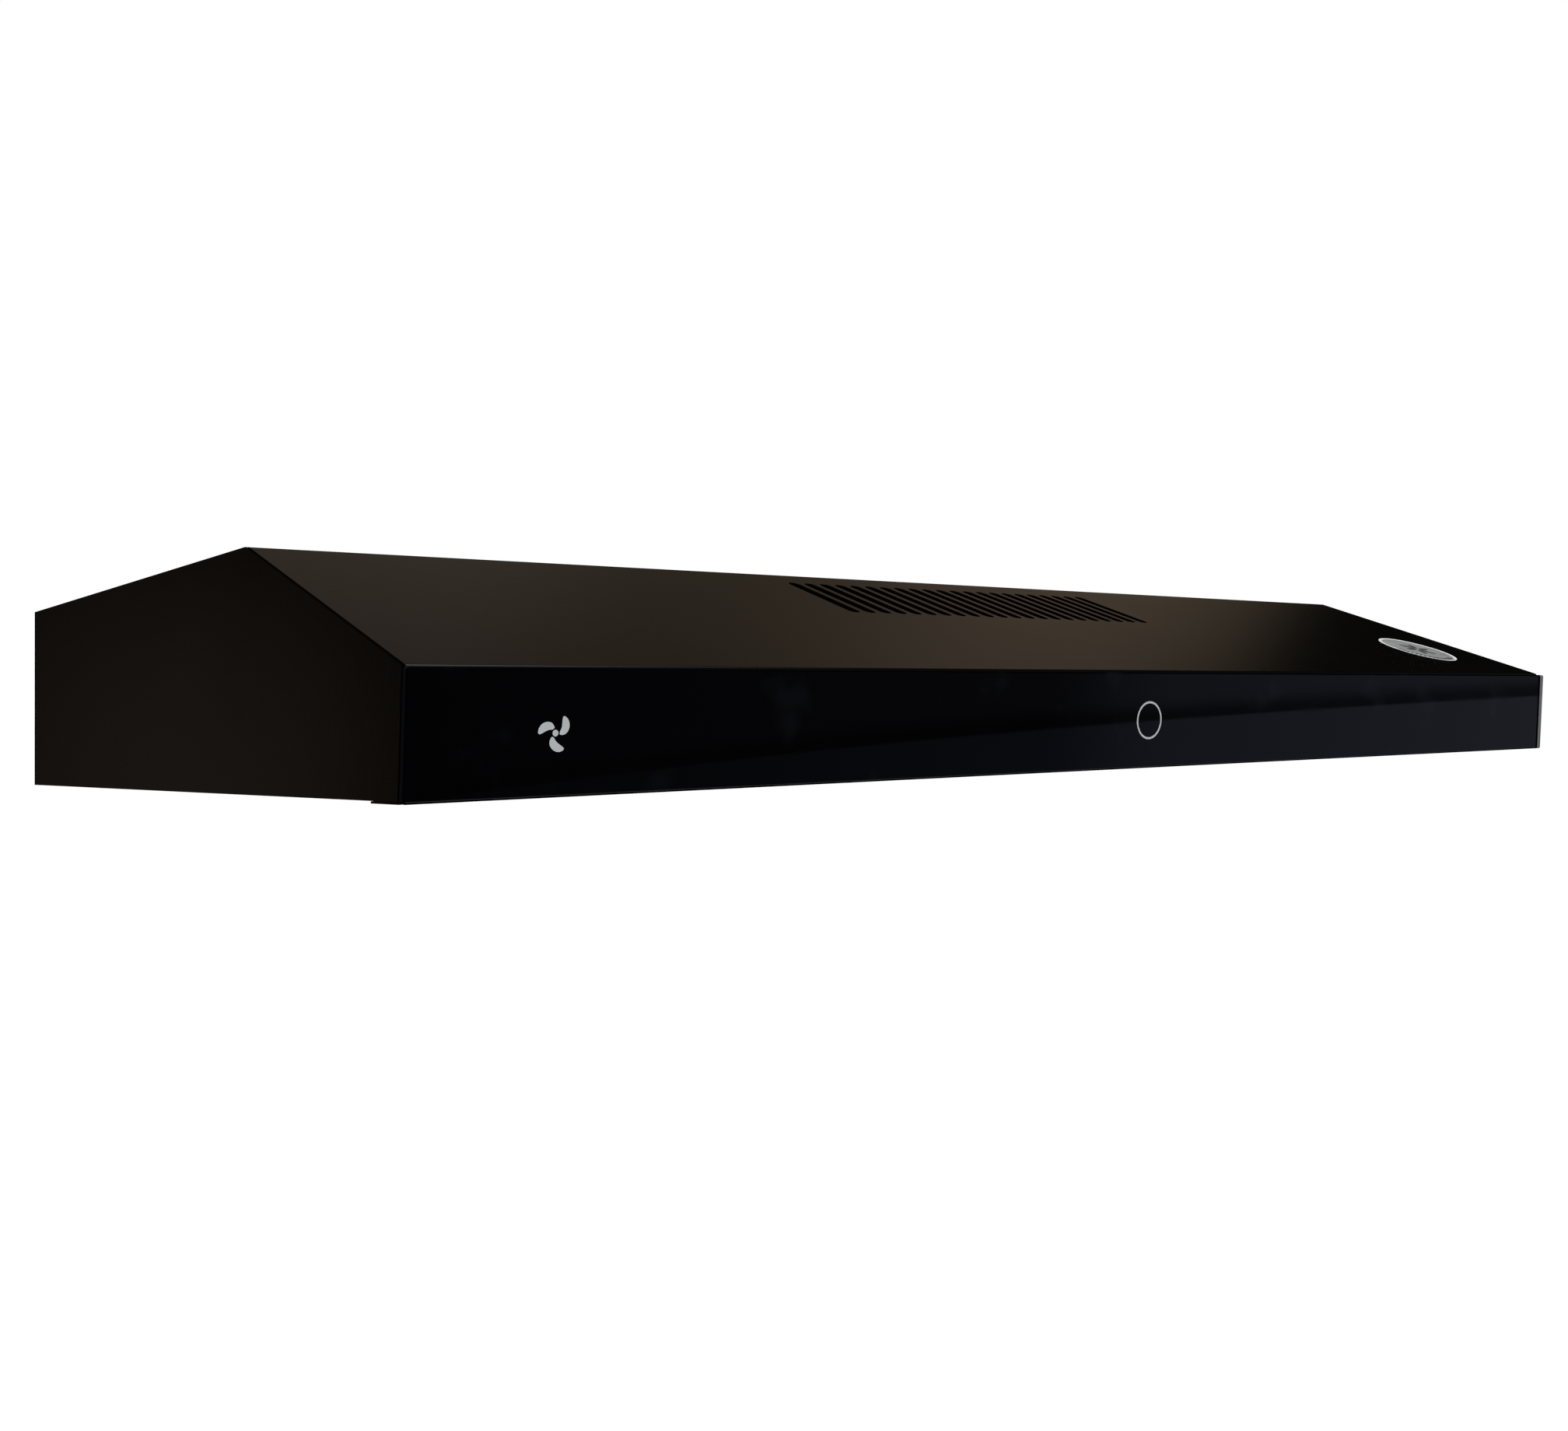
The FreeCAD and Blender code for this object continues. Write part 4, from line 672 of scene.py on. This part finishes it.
class Sky:
    """The studio around the hood, as soft patches of light in each direction."""

    def __init__(self):
        world = bpy.data.worlds.new("studio")
        world.use_nodes = True
        bpy.context.scene.world = world
        self.nodes = world.node_tree.nodes
        self.links = world.node_tree.links
        self.ground = self.nodes["Background"]
        parts = self.nodes.new("ShaderNodeSeparateXYZ")
        self.links.new(self.nodes.new("ShaderNodeTexCoord").outputs["Generated"], parts.inputs[0])
        self.height = self.math("MULTIPLY", self.math("ARCSINE", parts.outputs["Z"]), 180 / math.pi)
        turn = self.math("ARCTAN2", parts.outputs["X"], parts.outputs["Y"])
        self.azimuth = self.math("MULTIPLY", turn, 180 / math.pi)
        ahead = self.math("ARCTAN2", parts.outputs["X"], self.math("MULTIPLY", parts.outputs["Y"], -1.0))
        self.from_front = self.math("MULTIPLY", ahead, 180 / math.pi)
        self.total = None

    def math(self, operation, first, second=None):
        node = self.nodes.new("ShaderNodeMath")
        node.operation = operation
        for socket, value in zip(node.inputs, (first, second)):
            if isinstance(value, (int, float)):
                socket.default_value = value
            elif value is not None:
                self.links.new(value, socket)
        return node.outputs[0]

    def step(self, value, start, end):
        """From 0 to 1 as value goes from start to end, in degrees; start above end falls instead."""
        node = self.nodes.new("ShaderNodeMapRange")
        node.interpolation_type = "SMOOTHSTEP"
        self.links.new(value, node.inputs["Value"])
        low, high = min(start, end), max(start, end)
        node.inputs["From Min"].default_value = low
        node.inputs["From Max"].default_value = high
        node.inputs["To Min"].default_value = 0.0 if start < end else 1.0
        node.inputs["To Max"].default_value = 1.0 if start < end else 0.0
        return node.outputs["Result"]

    def patch(self, colour, *edges):
        """Adds light of that colour where every (value, start, end) step is up."""
        mask = None
        for value, start, end in edges:
            rise = self.step(value, start, end)
            mask = rise if mask is None else self.math("MULTIPLY", mask, rise)
        scale = self.nodes.new("ShaderNodeVectorMath")
        scale.operation = "SCALE"
        scale.inputs[0].default_value = colour
        self.links.new(mask, scale.inputs["Scale"])
        if self.total is None:
            self.total = scale.outputs[0]
            return
        add = self.nodes.new("ShaderNodeVectorMath")
        self.links.new(self.total, add.inputs[0])
        self.links.new(scale.outputs[0], add.inputs[1])
        self.total = add.outputs[0]

    def close(self):
        """White for the camera, the patches for everything that the hood is lit by and reflects."""
        self.links.new(self.total, self.ground.inputs["Color"])
        white = self.nodes.new("ShaderNodeBackground")
        mix = self.nodes.new("ShaderNodeMixShader")
        self.links.new(self.nodes.new("ShaderNodeLightPath").outputs["Is Camera Ray"], mix.inputs[0])
        self.links.new(self.ground.outputs[0], mix.inputs[1])
        self.links.new(white.outputs[0], mix.inputs[2])
        white.inputs["Color"].default_value = (1.0, 1.0, 1.0, 1.0)
        self.links.new(mix.outputs[0], self.nodes["World Output"].inputs["Surface"])


def studio():
    sky = Sky()
    up, turn, front = sky.height, sky.azimuth, sky.from_front
    sky.patch((0.0020, 0.0018, 0.0018), (up, -90, -89))
    sky.patch((0.0080, 0.0075, 0.0090), (front, -110, -90), (front, 110, 90))
    # the wall behind the hood, which the slope mirrors, with a warm lamp's pool of light on its right
    behind = ((up, -5, 12), (up, 56, 24))
    sky.patch((0.070, 0.054, 0.035), (turn, 13, 23), (turn, 61.0, 59.4), *behind)
    sky.patch((0.042, 0.034, 0.032), (turn, 13, 23), (turn, 39, 30), *behind)
    sky.patch((0.062, 0.043, 0.034), (turn, 41, 53), (turn, 60.5, 55), *behind)
    # a dim wall beside the left end panel, and soft light from overhead, from the left and from the right
    sky.patch((0.063, 0.048, 0.037), (turn, -27, -21), (turn, -10, -18), (up, -8, -4), (up, 12, -1))
    sky.patch((1.3, 1.3, 1.3), (up, 50, 70))
    sky.patch((0.10, 0.10, 0.10), (turn, -130, -110), (turn, -45, -65), (up, 10, 25), (up, 60, 45))
    sky.patch((0.05, 0.05, 0.05), (turn, 84, 92), (turn, 110, 100), (up, 3, 12), (up, 30, 20))
    # a large softbox high on the front left
    sky.patch((4.2, 4.2, 4.2), (front, -95, -70), (front, 22, 5), (up, 28, 44), (up, 85, 70))
    # the dim room in front, mirrored by the glass: a table top below a straight edge, a shadow, a wall
    edge = sky.math("ADD", up, sky.math("MULTIPLY", sky.math("SUBTRACT", turn, TABLE_TURN), TABLE_SLOPE))
    near, far = ((turn, 96, 104), (turn, 132.5, 127.5)), ((turn, 96, 104), (turn, 164, 129))
    sky.patch((0.020, 0.022, 0.030), (up, -20, -12), (up, 20, 8), *near)
    sky.patch((0.036, 0.038, 0.046), (edge, 0.05, -0.05), *near)
    sky.patch((0.038, 0.043, 0.066), (edge, 0.05, -0.05), *far)
    sky.patch((0.036, 0.039, 0.050), (edge, 0.12, 0.72), (up, 20, 8), *near)
    sky.patch((0.020, 0.021, 0.031), (edge, 0.20, 1.00), (up, 20, 8), *far)
    # what the pale floor gives back
    sky.patch((0.42, 0.41, 0.40), (up, -14, -24))
    sky.close()


def floor():
    """A pale round floor that only the camera sees; its light on the hood is the sky's lowest patch."""
    mesh = bmesh.new()
    steps = 96
    centre = mesh.verts.new((0.0, 0.0, FLOOR_Z))
    rim = []
    for i in range(steps):
        x, y = sector_point(FLOOR_RADIUS, 2 * math.pi * i / steps)
        rim.append(mesh.verts.new((x, y, FLOOR_Z)))
    for i in range(steps):
        mesh.faces.new((centre, rim[i], rim[(i + 1) % steps]))
    data = bpy.data.meshes.new("floor")
    mesh.to_mesh(data)
    mesh.free()
    made = bpy.data.objects.new("floor", data)
    bpy.context.scene.collection.objects.link(made)
    made.visible_diffuse = made.visible_glossy = made.visible_transmission = False
    pale = Surface("pale_floor", (0.8, 0.8, 0.8), 0.8, Emission_Color=(1.0, 1.0, 1.0, 1.0), Emission_Strength=0.9)
    data.materials.append(pale.material)


def finishes(glass_plane):
    """The material of every slot in the record but the lamp lens, which is made for each of its nodes."""
    half_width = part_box("glass_front")[1].x
    return {
        "cabinet_paint": satin_paint(),
        "fascia_glass": fascia_glass(glass_plane[1], half_width),
        "foam_tape": foam_tape(),
        "galvanised_sheet": galvanised_sheet(),
        "black_plastic": moulded_plastic(),
        "circuit_board": circuit_board(),
        "zinc_steel": bright_zinc(),
        "motor_metal": laminated_motor(),
        "capacitor_can": capacitor_can(),
        "heat_sink": cast_heat_sink(),
        "filter_frame": brushed_aluminium(
            "rolled_aluminium", (0.74, 0.75, 0.76), (0.62, 0.63, 0.64), (0.02, 1.0, 1.0), 0.32),
        "filter_mesh": brushed_aluminium(
            "mesh_aluminium", (0.70, 0.71, 0.72), (0.58, 0.59, 0.60), (1.0, 1.0, 1.0), 0.36),
        "grommet_rubber": rubber(),
        "cable_sheath": cable_sheath(),
    }


def dress(finish):
    """Gives each CAD node the material of its slot."""
    for part in frame["record"]["subparts"]:
        node = part["node"]
        data = frame["nodes"][node].data
        if part["material_slot"] == "lamp_lens":
            low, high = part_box(node)
            made = lamp_lens(node + "_frosted", (low + high) / 2)
        else:
            made = finish[part["material_slot"]]
        data.materials.clear()
        data.materials.append(made)


def build():
    glass_plane = largest_face("glass_front", Vector((0.0, -0.9955, -0.0951)))
    slope_plane = largest_face("top_shell", Vector((0.0, -0.3487, 0.9372)))
    camera()
    studio()
    floor()
    finish = finishes(glass_plane)
    dress(finish)
    ink = white_print()
    touch_ring(glass_plane, ink)
    fan_sign(glass_plane, ink)
    foil_seal(slope_plane, seal_paper(), seal_foil(), seal_ink())
    for side in ("left", "right"):
        filter_pack(side, finish["filter_mesh"])
        latch_coil(side, finish["zinc_steel"])
    bpy.context.scene.view_settings.view_transform = "Standard"


build()

import json
bpy.context.view_layer.update()
